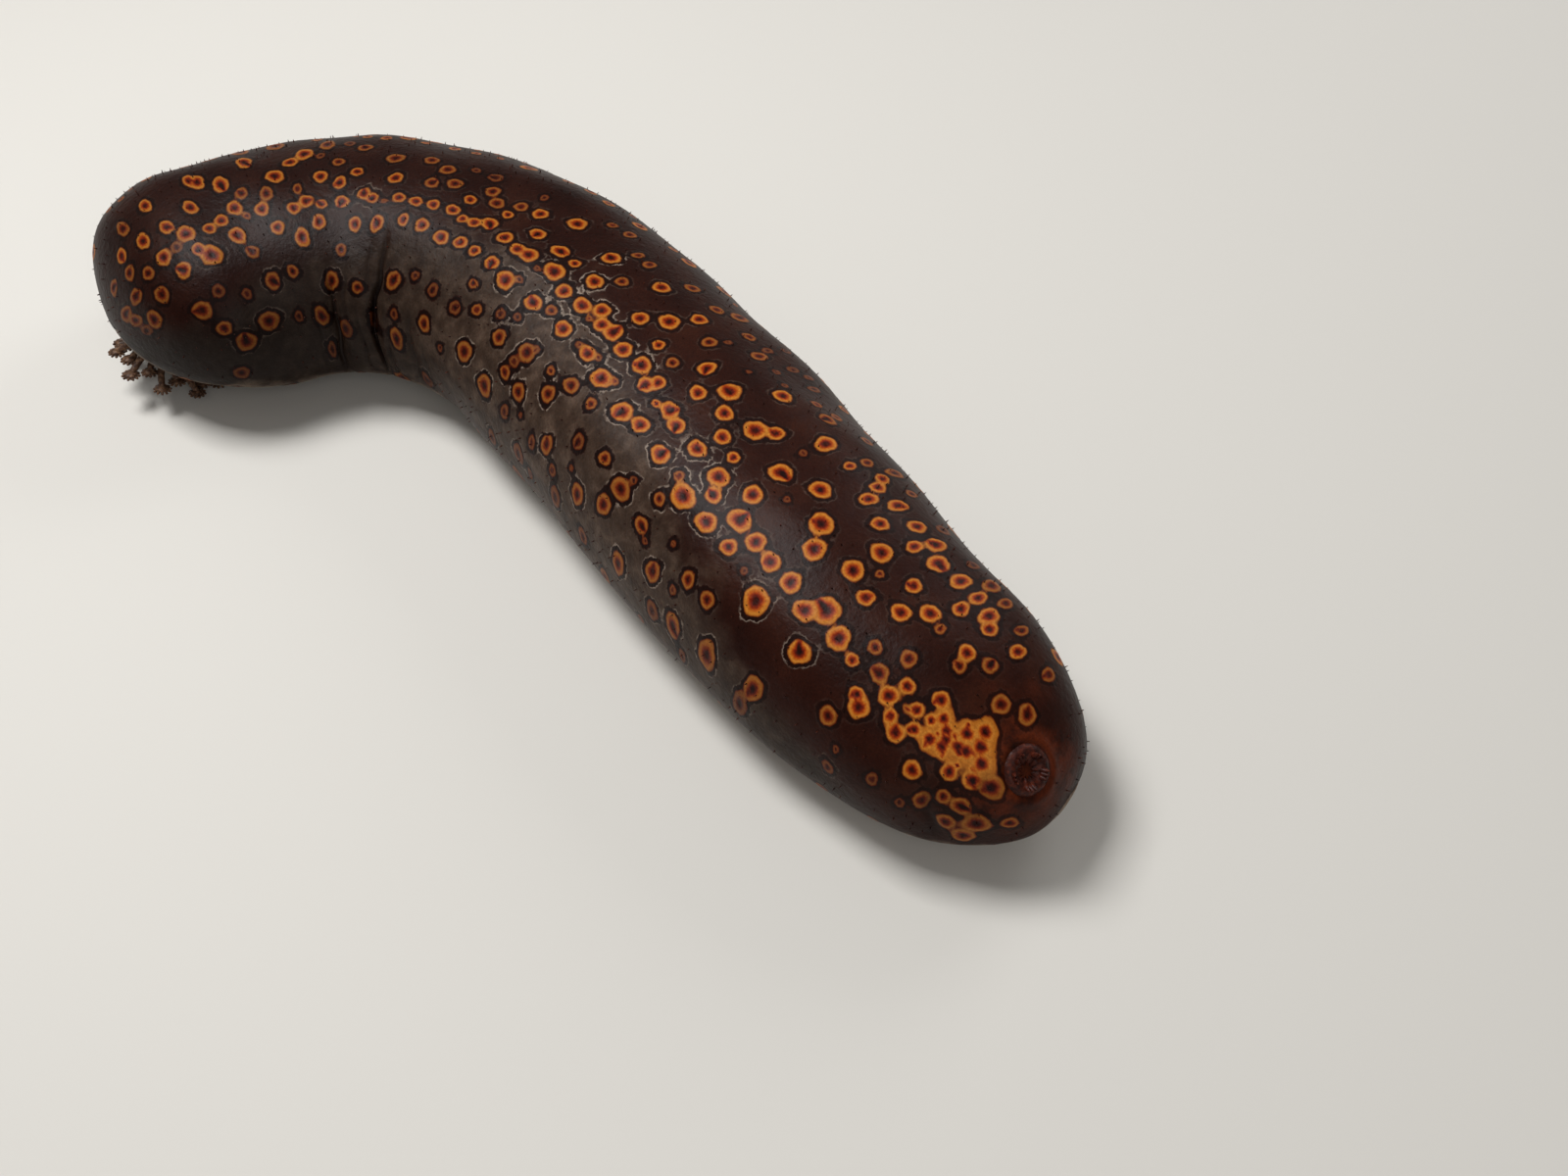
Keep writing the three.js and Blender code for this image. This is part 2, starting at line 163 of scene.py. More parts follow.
def smoothTable(x, places, values):
    # a smooth curve through all the values
    places, values = np.asarray(places, float), np.asarray(values, float)
    last = len(places) - 1
    at = np.clip(x, places[0], places[-1])
    low = np.clip(np.searchsorted(places, at, side="right") - 1, 0, last - 1)
    before = np.maximum(np.arange(last + 1) - 1, 0)
    after = np.minimum(np.arange(last + 1) + 1, last)
    slope = (values[after] - values[before]) / (places[after] - places[before])
    span = places[low + 1] - places[low]
    t = (at - places[low]) / span
    rise = t * t * (3 - 2 * t)
    bend = t * (1 - t) ** 2 * span * slope[low] + t * t * (t - 1) * span * slope[low + 1]
    return values[low] * (1 - rise) + values[low + 1] * rise + bend


def foldDepth(along, around):
    depth = np.zeros(np.broadcast(along, around).shape)
    for at, middle, alongSpan, roundSpan, deep in folds:
        across = (along - at) / alongSpan
        up = np.abs((around - middle + 180) % 360 - 180) / roundSpan
        depth += deep * np.exp(-across ** 2) * np.clip(1 - up ** 2, 0, 1) ** 2
    return depth


def surfaceAt(along, around):
    # points in millimetres for arrays of places
    along, around = np.broadcast_arrays(np.asarray(along, float), np.asarray(around, float))
    wide = smoothTable(along, body["widthAt"], body["halfWidth"])
    high = 2 * wide * np.interp(along, body["heightAt"], body["heightPerWidth"])
    chin = smoothStep(body["chinFrom"], body["chinFrom"] + body["chinReach"], along)
    low = body["soleClearance"] + body["chinRise"] * chin
    middle = np.maximum(high * body["widestShare"], low + 1)
    c, s = np.cos(np.radians(around)), np.sin(np.radians(around))
    power = 2 / np.where(s >= 0, body["backRoundness"], body["soleRoundness"])
    tailShare = 1 - np.clip(1 - along / body["tailDome"], 0, 1) ** 2
    headShare = 1 - np.clip((along - body["length"] + body["headDome"]) / body["headDome"], 0, 1) ** 2
    share = np.sqrt(np.clip(np.minimum(tailShare, headShare), 0, 1))
    side = np.sign(c) * np.abs(c) ** power * (wide - foldDepth(along, around))
    side = side * share ** body["domeWidthPower"]
    rise = np.sign(s) * np.abs(s) ** power
    height = middle + np.where(s >= 0, high - middle, middle - low) * rise
    pole = high * body["poleShare"]
    height = pole + (height - pole) * share ** body["domeHeightPower"]
    x, y = np.interp(along, lineAlong, lineX), np.interp(along, lineAlong, lineY)
    heading = np.interp(along, lineAlong, lineHeading)
    return np.stack([x - np.sin(heading) * side, y + np.cos(heading) * side, height], -1)


def unit(vectors):
    return vectors / np.maximum(np.linalg.norm(vectors, axis=-1, keepdims=True), 1e-9)


def tangentsAt(along, around):
    # unit steps forward and up the round angle, and the outward normal
    low, high = np.maximum(along - 0.4, 0.05), np.minimum(along + 0.4, body["length"] - 0.05)
    forward = unit(surfaceAt(high, around) - surfaceAt(low, around))
    upward = surfaceAt(along, around + 0.5) - surfaceAt(along, around - 0.5)
    outward = unit(np.cross(upward, forward))
    return forward, np.cross(forward, outward), outward


# The markings are eye-like spots, each with a dark centre, an orange ring and a black rim. Those on
# the side that shows were read in enlarged crops of the photo, each kind from the tail to
# the head. The camera turns a reading into a place on the body and a size.
photo = {"width": 1600, "height": 1200}
crops = {  # left and top in the photo's pixels, and enlargement
    "head": (100, 120, 4.9), "bend": (400, 120, 4.9), "waist": (560, 280, 4.9),
    "tail": (780, 520, 4.356), "flank": (480, 420, 4.9), "chain": (850, 440, 9.8),
}
spots = {  # crop, centre across and down, half width and half height, in the crop's pixels
    "bright": (
        ("tail", 960, 1125, 48, 40), ("tail", 920, 1210, 45, 40), ("tail", 970, 1045, 46, 42),
        ("tail", 990, 985, 46, 42), ("tail", 905, 1065, 44, 40), ("tail", 820, 1180, 38, 42),
        ("tail", 865, 1045, 44, 40), ("tail", 905, 990, 44, 40), ("tail", 820, 1020, 40, 34),
        ("tail", 795, 1060, 42, 40), ("tail", 1130, 630, 40, 33), ("tail", 812, 965, 40, 34),
        ("tail", 805, 925, 40, 35), ("tail", 655, 1165, 42, 45), ("tail", 725, 1020, 42, 40),
        ("tail", 740, 925, 32, 30), ("tail", 790, 840, 42, 42), ("tail", 645, 980, 38, 36),
        ("tail", 915, 635, 47, 37), ("tail", 685, 895, 38, 38), ("tail", 1010, 525, 40, 32),
        ("tail", 575, 1000, 50, 42), ("tail", 998, 460, 45, 37), ("tail", 540, 920, 34, 36),
        ("tail", 640, 775, 38, 40), ("tail", 557, 810, 45, 53), ("tail", 880, 432, 45, 30),
        ("tail", 950, 385, 40, 28), ("tail", 412, 885, 45, 55), ("tail", 400, 820, 38, 36),
        ("tail", 740, 447, 50, 40), ("tail", 865, 310, 45, 35), ("tail", 610, 450, 45, 42),
        ("tail", 395, 655, 30, 35), ("tail", 660, 328, 35, 35), ("tail", 780, 235, 42, 42),
        ("tail", 333, 567, 52, 55), ("tail", 445, 385, 38, 40), ("tail", 770, 155, 38, 35),
        ("tail", 268, 445, 58, 60), ("tail", 665, 150, 33, 30), ("waist", 1515, 1470, 55, 50),
        ("tail", 530, 175, 45, 45), ("tail", 165, 435, 48, 50), ("tail", 680, 68, 35, 35),
        ("waist", 1205, 1530, 58, 50), ("tail", 515, 60, 35, 35), ("waist", 1325, 1360, 58, 52),
        ("chain", 670, 735, 90, 65), ("waist", 1105, 1432, 52, 50), ("waist", 1355, 1237, 60, 55),
        ("chain", 360, 655, 90, 65), ("chain", 455, 540, 75, 60), ("waist", 1035, 1330, 50, 50),
        ("chain", 485, 455, 65, 60), ("waist", 1362, 1065, 52, 48), ("waist", 887, 1365, 40, 45),
        ("waist", 1497, 953, 28, 25), ("waist", 955, 1215, 57, 60), ("waist", 1007, 1090, 50, 48),
        ("waist", 1150, 970, 58, 48), ("waist", 1385, 842, 48, 42), ("waist", 923, 895, 33, 32),
        ("waist", 1143, 783, 42, 33), ("waist", 1042, 765, 60, 45), ("waist", 872, 797, 43, 40),
        ("waist", 1180, 610, 45, 37), ("waist", 887, 682, 47, 37), ("bend", 1415, 1530, 42, 48),
        ("waist", 910, 580, 55, 45), ("bend", 1385, 1445, 47, 50), ("waist", 752, 582, 42, 40),
        ("bend", 1238, 1525, 42, 52), ("bend", 1325, 1415, 25, 25), ("waist", 795, 467, 52, 32),
        ("bend", 1335, 1305, 42, 35), ("bend", 1270, 1320, 45, 40), ("bend", 1333, 1120, 35, 28),
        ("bend", 1530, 1003, 42, 34), ("bend", 1390, 1015, 55, 40), ("bend", 1238, 1000, 45, 37),
        ("bend", 1343, 843, 48, 30), ("bend", 912, 730, 30, 30), ("bend", 850, 660, 45, 45),
        ("bend", 692, 685, 45, 50), ("bend", 930, 515, 47, 35), ("bend", 625, 655, 40, 37),
        ("bend", 728, 565, 42, 38), ("bend", 498, 718, 37, 45), ("bend", 562, 592, 42, 38),
        ("bend", 748, 462, 40, 30), ("bend", 412, 658, 33, 35), ("bend", 576, 475, 32, 25),
        ("bend", 487, 525, 42, 38), ("bend", 340, 622, 35, 42), ("bend", 405, 515, 38, 30),
        ("bend", 350, 500, 30, 25), ("bend", 237, 590, 42, 42), ("bend", 380, 403, 35, 27),
        ("bend", 295, 455, 38, 32), ("bend", 150, 530, 40, 40), ("bend", 208, 430, 35, 30),
        ("bend", 120, 415, 38, 27), ("head", 1515, 510, 30, 42), ("head", 1500, 400, 40, 25),
        ("head", 1495, 292, 40, 30), ("head", 1392, 517, 38, 50), ("head", 1280, 515, 35, 45),
        ("head", 1300, 268, 35, 25), ("head", 1218, 403, 42, 32), ("head", 1205, 312, 37, 34),
        ("head", 1120, 420, 35, 25), ("head", 1105, 505, 40, 42), ("head", 1108, 285, 40, 32),
        ("head", 1035, 412, 40, 35), ("head", 1028, 165, 52, 30), ("head", 1015, 592, 42, 55),
        ("head", 965, 212, 45, 28), ("head", 970, 445, 42, 30), ("head", 885, 293, 52, 37),
        ("head", 895, 540, 42, 37), ("head", 818, 448, 45, 35), ("head", 727, 222, 47, 32),
        ("head", 690, 440, 42, 40), ("head", 608, 325, 48, 38), ("head", 697, 577, 46, 50),
        ("head", 617, 490, 40, 35), ("head", 503, 317, 40, 36), ("head", 455, 313, 32, 34),
        ("head", 543, 540, 38, 33), ("head", 465, 430, 40, 38), ("head", 450, 565, 50, 48),
        ("head", 340, 540, 38, 42), ("head", 233, 432, 33, 40), ("head", 418, 750, 43, 50),
        ("head", 318, 695, 42, 47), ("head", 207, 615, 38, 45), ("head", 105, 688, 30, 42),
    ),
    "brightHaloed": (
        ("tail", 148, 640, 45, 58), ("flank", 1412, 937, 62, 75), ("waist", 785, 1240, 45, 70),
        ("waist", 818, 1088, 40, 47), ("waist", 850, 1005, 50, 55), ("waist", 670, 1105, 55, 75),
        ("waist", 733, 860, 45, 50), ("waist", 550, 890, 46, 55), ("bend", 1150, 1455, 50, 60),
        ("bend", 1245, 1220, 52, 45), ("bend", 1040, 1295, 48, 70), ("bend", 1155, 1150, 48, 45),
        ("bend", 980, 1165, 42, 55), ("bend", 1110, 1065, 58, 43), ("bend", 1040, 1030, 45, 42),
        ("bend", 1042, 960, 45, 45), ("bend", 850, 1050, 42, 62), ("bend", 938, 930, 48, 47),
        ("bend", 1015, 812, 48, 42), ("bend", 855, 858, 43, 43), ("bend", 708, 915, 42, 55),
        ("bend", 1095, 695, 50, 37), ("bend", 803, 765, 58, 48), ("bend", 570, 800, 47, 60),
        ("head", 1365, 400, 35, 27), ("head", 1330, 370, 40, 30), ("head", 570, 675, 58, 62),
        ("head", 495, 655, 38, 42),
    ),
    "muted": (
        ("tail", 1090, 1395, 36, 22), ("tail", 930, 1400, 60, 36), ("tail", 1000, 1240, 60, 44),
        ("tail", 890, 1455, 50, 26), ("tail", 1180, 900, 44, 40), ("tail", 880, 1330, 45, 32),
        ("tail", 1270, 730, 24, 36), ("tail", 800, 1388, 50, 26), ("tail", 805, 1290, 36, 28),
        ("tail", 1060, 860, 46, 40), ("tail", 710, 1300, 38, 36), ("tail", 1010, 690, 40, 34),
        ("tail", 1145, 530, 30, 25), ("tail", 870, 690, 36, 30), ("tail", 622, 872, 20, 20),
        ("tail", 1065, 410, 30, 30), ("tail", 785, 515, 28, 22), ("tail", 640, 650, 42, 35),
        ("tail", 510, 715, 45, 42), ("tail", 1010, 335, 35, 40), ("tail", 270, 920, 36, 48),
        ("tail", 485, 595, 38, 30), ("tail", 515, 275, 20, 20), ("flank", 1400, 1400, 45, 60),
        ("chain", 800, 600, 55, 45), ("flank", 1170, 930, 30, 58), ("chain", 625, 410, 90, 45),
        ("waist", 680, 1525, 28, 55), ("chain", 340, 305, 60, 50), ("chain", 360, 95, 50, 60),
        ("waist", 1390, 715, 35, 40), ("waist", 1445, 700, 25, 30), ("waist", 443, 1255, 30, 50),
        ("waist", 1340, 635, 25, 25), ("waist", 262, 1160, 38, 52), ("waist", 280, 915, 28, 42),
        ("waist", 1055, 400, 45, 22), ("bend", 1400, 1215, 42, 25), ("waist", 800, 330, 45, 25),
        ("waist", 1003, 300, 30, 28), ("bend", 990, 1435, 28, 38), ("waist", 955, 208, 40, 35),
        ("bend", 890, 1330, 38, 55), ("waist", 850, 170, 35, 27), ("bend", 1500, 843, 40, 25),
        ("bend", 1155, 820, 40, 25), ("bend", 1290, 735, 40, 20), ("bend", 1230, 680, 40, 15),
        ("bend", 530, 1100, 35, 50), ("bend", 1195, 575, 35, 20), ("bend", 1105, 525, 30, 15),
        ("bend", 415, 955, 27, 37), ("bend", 408, 820, 25, 33), ("bend", 155, 1035, 33, 45),
        ("bend", 647, 423, 38, 25), ("bend", 520, 412, 38, 35), ("bend", 513, 355, 42, 25),
        ("head", 1488, 1110, 32, 60), ("bend", 315, 325, 42, 27), ("head", 1462, 815, 38, 58),
        ("bend", 285, 257, 45, 25), ("bend", 200, 322, 38, 28), ("bend", 205, 213, 45, 20),
        ("head", 1440, 410, 25, 12), ("head", 1480, 200, 48, 27), ("head", 1288, 848, 28, 37),
        ("head", 1345, 140, 42, 17), ("head", 1210, 660, 30, 37), ("head", 1205, 215, 35, 22),
        ("head", 1145, 128, 42, 25), ("head", 1115, 990, 35, 58), ("head", 998, 352, 27, 28),
        ("head", 885, 130, 57, 25), ("head", 975, 760, 30, 37), ("head", 845, 375, 38, 35),
        ("head", 705, 165, 58, 27), ("head", 730, 375, 35, 30), ("head", 745, 477, 22, 20),
        ("head", 555, 183, 62, 25), ("head", 778, 662, 37, 37), ("head", 630, 1068, 42, 42),
        ("head", 515, 960, 52, 52), ("head", 107, 562, 38, 38), ("head", 315, 885, 37, 50),
        ("head", 240, 788, 30, 42), ("head", 143, 785, 30, 42), ("head", 280, 1000, 38, 60),
        ("head", 185, 895, 33, 48), ("head", 70, 860, 20, 45),
    ),
    "mutedHaloed": (
        ("flank", 1172, 1228, 45, 70), ("flank", 992, 1078, 35, 58), ("waist", 500, 1475, 38, 52),
        ("waist", 545, 1130, 28, 40), ("waist", 655, 1000, 27, 30), ("waist", 335, 1450, 30, 52),
        ("waist", 352, 1065, 42, 70), ("waist", 135, 1100, 28, 60), ("bend", 1110, 1305, 20, 30),
        ("flank", 370, 170, 28, 58), ("bend", 775, 1380, 33, 60), ("bend", 780, 1260, 22, 30),
        ("bend", 985, 995, 20, 16), ("bend", 620, 1375, 32, 55), ("bend", 670, 1170, 42, 60),
        ("bend", 560, 1275, 32, 37), ("bend", 787, 953, 30, 35), ("bend", 450, 1345, 38, 58),
        ("bend", 350, 1180, 42, 55), ("head", 1165, 815, 38, 55), ("head", 878, 810, 40, 52),
        ("head", 868, 1028, 55, 55), ("head", 750, 1125, 55, 52), ("head", 185, 1010, 32, 38),
        ("head", 130, 985, 32, 38),
    ),
    "dim": (
        ("tail", 605, 1310, 25, 20), ("tail", 480, 1205, 30, 30), ("tail", 315, 1080, 18, 20),
        ("tail", 930, 245, 25, 30), ("tail", 805, 85, 30, 30), ("waist", 965, 1475, 20, 25),
        ("waist", 1190, 1110, 22, 18), ("flank", 1000, 900, 18, 30), ("waist", 620, 1345, 15, 22),
        ("waist", 1275, 875, 22, 20), ("flank", 860, 655, 15, 20), ("waist", 1345, 560, 40, 16),
        ("waist", 1180, 545, 20, 15), ("waist", 1150, 478, 20, 20), ("waist", 1300, 500, 30, 14),
        ("waist", 1003, 487, 18, 12), ("waist", 1230, 465, 34, 16), ("flank", 555, 620, 30, 35),
        ("waist", 1090, 365, 30, 15), ("waist", 1190, 385, 30, 14), ("flank", 500, 292, 12, 18),
        ("waist", 150, 845, 28, 48), ("waist", 905, 335, 25, 12), ("flank", 402, 288, 20, 30),
        ("flank", 295, 310, 15, 30), ("flank", 297, 155, 17, 38), ("bend", 630, 1490, 10, 18),
        ("bend", 550, 1470, 20, 40), ("bend", 235, 1155, 15, 18), ("bend", 300, 950, 25, 45),
        ("bend", 770, 400, 25, 12), ("bend", 193, 860, 25, 40), ("bend", 108, 785, 22, 25),
        ("bend", 525, 292, 40, 18), ("head", 1470, 980, 20, 28), ("bend", 425, 258, 30, 12),
        ("head", 1380, 1020, 15, 50), ("head", 1240, 1055, 30, 50), ("head", 1255, 122, 30, 12),
        ("head", 1110, 183, 25, 15), ("head", 1010, 1000, 22, 30), ("head", 750, 870, 25, 30),
        ("head", 593, 862, 35, 37), ("head", 710, 1290, 45, 30), ("head", 380, 640, 28, 33),
        ("head", 240, 1060, 30, 25),
    ),
    "dimHaloed": (
        ("tail", 270, 1160, 45, 25), ("flank", 1340, 1475, 40, 60), ("flank", 1050, 1235, 18, 35),
        ("flank", 892, 998, 30, 48), ("waist", 415, 1020, 18, 24), ("waist", 30, 1110, 28, 50),
        ("bend", 1025, 1195, 18, 22), ("flank", 235, 213, 28, 50), ("bend", 928, 1120, 20, 22),
        ("bend", 720, 1150, 16, 22), ("bend", 600, 1215, 25, 30), ("flank", 110, 135, 18, 45),
        ("bend", 617, 990, 20, 27), ("bend", 540, 980, 25, 33), ("bend", 735, 752, 18, 16),
        ("bend", 635, 800, 20, 24), ("bend", 165, 1320, 25, 45), ("head", 1185, 1165, 20, 50),
    ),
}
spotLook = {  # brightness of the ring, strength of the pale line round it
    "bright": (1.0, 0.15), "brightHaloed": (1.0, 1.0), "muted": (0.45, 0.1),
    "mutedHaloed": (0.42, 0.9), "dim": (0.12, 0.0), "dimHaloed": (0.1, 0.6),
}
spotGrowth = {  # full size of the read rings
    "along": (0, 18, 32, 70, 130, 190), "share": (1.18, 1.14, 1.04, 1.12, 1.06, 0.96),
}
patch = {  # rings that run together beside the vent, with small dots between them
    "from": 16, "to": 32, "low": 41, "high": 71, "grow": 1.38, "dotSize": 1.05,
    "dots": ((19, 47), (20, 55), (22, 45), (23, 51), (25, 66), (26, 46), (26, 58), (29, 54), (30, 46)),
}
net = {  # places on the body that a reading may stand for
    "alongs": 800, "arounds": 601, "end": 0.5, "lowest": -60, "highest": 240,
    "few": 12, "slack": 2.0, "smallest": 0.9, "longest": 4.6, "widest": 5.2,
}
scatter = {
    "seed": 11, "tries": 9000, "length": (1.9, 3.1), "stretch": 1.3, "spacing": 4.6,
    "seenFrom": (0, 20, 120, 200, 240, 280, 400), "seenLow": (-22, -20, -8, -8, -12, -22, -34),
    "seenHigh": (140, 142, 138, 134, 128, 120, 122), "lowest": -42, "highest": 222,
}


def photoPixels(points):
    # where the camera shows points, in the photo's pixels
    pitch, heading = math.radians(camera["pitch"]), math.radians(camera["heading"])
    level = np.array((math.cos(heading), math.sin(heading), 0.0))
    ahead = level * math.cos(pitch) - np.array((0.0, 0.0, math.sin(pitch)))
    right = np.array((level[1], -level[0], 0.0))
    down = np.cross(ahead, right)
    away = points - np.array(camera["place"])
    zoom = camera["lens"] / camera["sensor"] * photo["width"] / (away @ ahead)
    across = photo["width"] / 2 + zoom * (away @ right)
    return np.stack([across, photo["height"] / 2 + zoom * (away @ down)], -1)


def seenPlaces():
    # a fine net of places that face the camera, with their pixels and their distances from it
    alongs = np.linspace(net["end"], body["length"] - net["end"], net["alongs"])
    arounds = np.linspace(net["lowest"], net["highest"], net["arounds"])
    along, around = np.meshgrid(alongs, arounds, indexing="ij")
    points = surfaceAt(along, around)
    outward = np.cross(np.gradient(points, axis=1), np.gradient(points, axis=0))
    away = points - np.array(camera["place"])
    seen = (outward * away).sum(-1) < 0
    return along[seen], around[seen], photoPixels(points[seen]), np.linalg.norm(away[seen], axis=1)


def readSpot(seen, crop, x, y, halfAcross, halfDown):
    # along, round, half length and half width of a reading, no finer than it was read
    alongs, arounds, pixels, distances = seen
    left, top, enlarged = crops[crop]
    gaps = np.hypot(*(pixels - (left + x / enlarged, top + y / enlarged)).T)
    near = np.argpartition(gaps, net["few"])[:net["few"]]
    near = near[gaps[near] < gaps[near].min() + net["slack"]]
    at = near[np.argmin(distances[near])]
    along, around = round(float(alongs[at]), 1), round(float(arounds[at]), 1)
    start = surfaceAt(along, around)
    halves = []
    for end in (surfaceAt(along + 0.5, around), surfaceAt(along, around + 1)):
        step = (photoPixels(end) - photoPixels(start)) / np.linalg.norm(end - start) * enlarged
        halves.append(1 / math.hypot(step[0] / halfAcross, step[1] / halfDown))
    length = min(max(halves[0], net["smallest"]), net["longest"])
    width = min(max(halves[1], net["smallest"]), net["widest"])
    return round(along), round(around), round(length, 1), round(width, 1)


def allSpots():
    # the seen side as read, and the far side filled in the same manner
    rows = []
    seen = seenPlaces()
    for kind, readings in spots.items():
        tone, line = spotLook[kind]
        for reading in readings:
            along, around, length, width = readSpot(seen, *reading)
            inPatch = patch["from"] < along < patch["to"] and patch["low"] < around < patch["high"]
            full = float(np.interp(along, spotGrowth["along"], spotGrowth["share"])) if tone > 0.3 else 1.0
            run = patch["grow"] if inPatch and tone > 0.9 else 1.0
            rows.append((along, around, length * full * run, width * full * run, tone, line, run))
    for along, around in patch["dots"]:
        rows.append((along, around, patch["dotSize"], patch["dotSize"], 1.0, 0.0, 1.0))
    random = np.random.default_rng(scatter["seed"])
    points = [surfaceAt(row[0], row[1]) for row in rows]
    sizes = [max(row[2], row[3]) for row in rows]
    for _ in range(scatter["tries"]):
        along = random.uniform(6, body["length"] - 5)
        around = random.uniform(scatter["lowest"], scatter["highest"])
        size = random.uniform(*scatter["length"]) * (0.6 if random.random() < 0.18 else 1)
        low = np.interp(along, scatter["seenFrom"], scatter["seenLow"])
        high = np.interp(along, scatter["seenFrom"], scatter["seenHigh"])
        if low < around < high:
            continue
        point = surfaceAt(along, around)
        gaps = np.linalg.norm(np.array(points) - point, axis=1) - np.array(sizes) - size
        flank = abs(around - 90) / 90
        chain = math.exp(-((around - 122) / 9) ** 2)
        if gaps.min() < scatter["spacing"] * (0.35 + flank * 0.9) * (1 - 0.75 * chain):
            continue
        tone = 1.0 if around < 158 else random.uniform(0.2, 0.8)
        tone *= 0.4 if around < 0 or around > 195 else 1
        stretch = 1 + (scatter["stretch"] - 1) * min(flank, 1.2) * random.uniform(0.6, 1.4)
        rows.append((along, around, size, size * stretch, tone, random.uniform(0, 0.8) * flank, 1.0))
        points.append(point)
        sizes.append(size * stretch)
    return np.array(rows)


spotRows = allSpots()
print("spots:", len(spotRows))


# The skin is one closed surface over all the lengths of the solids.
skin = {
    "step": 1.08, "stepSole": 2.3, "soleFrom": 196.0, "soleTo": 344.0,
    "swell": 0.5, "swellSize": 34.0,
    "joinSoftness": 0.5, "spotReach": 9.0, "pupilShare": 0.38,
    "rimRaise": 0.1, "pupilSink": 0.22,
}
creases = (  # along, round, half span along, half span round, depth: sharp lines in the folds
    (289.5, 8, 1.2, 54, 2.0), (317.5, 2, 1.4, 44, 1.0), (300, 0, 1.3, 22, 0.7), (278, -6, 1.4, 26, 0.7),
    (263, -4, 1.5, 30, 0.6), (24, 8, 1.4, 32, 0.8), (330, 0, 1.5, 22, 0.5), (251, -8, 1.5, 22, 0.5),
    (15, 30, 1.2, 26, 0.5), (307, 24, 1.2, 18, 0.4), (296, 40, 1.2, 16, 0.4),
)
mouthPlace = {"along": 384.0, "height": 15.5, "tilt": 32.0, "radius": 13.5, "lip": 3.2, "lipRaise": 0.9}
ventPlace = {"along": 9.0, "round": 62.0, "radius": 6.0, "lip": 2.4, "sink": 1.0}


def axisFrame(place, axis):
    # a centre, its axis and two directions across it
    axis = unit(np.asarray(axis, float))
    first = unit(np.cross(axis, (0.0, 0.0, 1.0)))
    return np.asarray(place, float), axis, first, np.cross(axis, first)


def mouthAxes():
    along, tilt = mouthPlace["along"], math.radians(mouthPlace["tilt"])
    x, y = np.interp(along, lineAlong, lineX), np.interp(along, lineAlong, lineY)
    heading = np.interp(along, lineAlong, lineHeading)
    axis = (math.cos(heading) * math.sin(tilt), math.sin(heading) * math.sin(tilt), -math.cos(tilt))
    return axisFrame((x, y, mouthPlace["height"]), axis)


mouthFrame = mouthAxes()
ventCentre = surfaceAt(ventPlace["along"], ventPlace["round"])
ventFrame = axisFrame(ventCentre, tangentsAt(ventPlace["along"], ventPlace["round"])[2])


def waves(points, size, seed, count=9):
    # a soft random rise and fall from -1 to 1
    random = np.random.default_rng(seed)
    total = np.zeros(len(points))
    for _ in range(count):
        direction = unit(random.normal(size=3)) * 2 * math.pi / (size * random.uniform(0.7, 1.5))
        total += np.sin(points @ direction + random.uniform(0, 6.28))
    return total / math.sqrt(count)


def spread(measure, count):
    # places of equal steps in a measure that grows
    return np.interp(np.linspace(0, measure[-1], count), measure, np.arange(len(measure)))


def skinGrid():
    fine = np.linspace(0.02, body["length"] - 0.02, 4001)
    rounds = np.arange(0, 360, 15)
    steps = np.linalg.norm(np.diff(surfaceAt(fine[:, None], rounds[None]), axis=0), axis=2)
    outer = np.concatenate([[0], np.cumsum(0.75 * steps.max(1) + 0.25 * steps.mean(1))])
    alongs = np.interp(spread(outer, int(outer[-1] / skin["step"])), np.arange(4001), fine)
    turn = np.linspace(skin["soleFrom"] - 360, skin["soleFrom"], 3601)
    ring = surfaceAt(200.0, turn)
    arc = np.linalg.norm(np.diff(ring, axis=0), axis=1)
    isSole = turn[:-1] < skin["soleTo"] - 360
    arc = arc * np.where(isSole, skin["step"] * 0.98 / skin["stepSole"], 1.0)
    arc = np.concatenate([[0], np.cumsum(arc)])
    arounds = np.interp(spread(arc, int(arc[-1] / skin["step"]) + 1)[:-1], np.arange(3601), turn)
    return alongs, arounds


def creaseDepth(along, around):
    # how deep the sharp creases cut
    cut = np.zeros(len(along))
    for at, middle, alongSpan, roundSpan, deep in creases:
        bend = 1.2 * np.sin(around / 9 + at) + 0.5 * np.sin(around / 3.1 + at)
        across = (along - at - bend) / alongSpan
        up = np.abs((around - middle + 180) % 360 - 180) / roundSpan
        cut += deep * np.exp(-across ** 2) * np.clip(1 - up ** 2, 0, 1) ** 1.2
    return cut


def skinRelief(along, around, points):
    upper = smoothStep(-60, -20, -np.abs(around - 90) + 90)
    swell = skin["swell"] * waves(points, skin["swellSize"], 3) * upper
    return swell - creaseDepth(along, around)


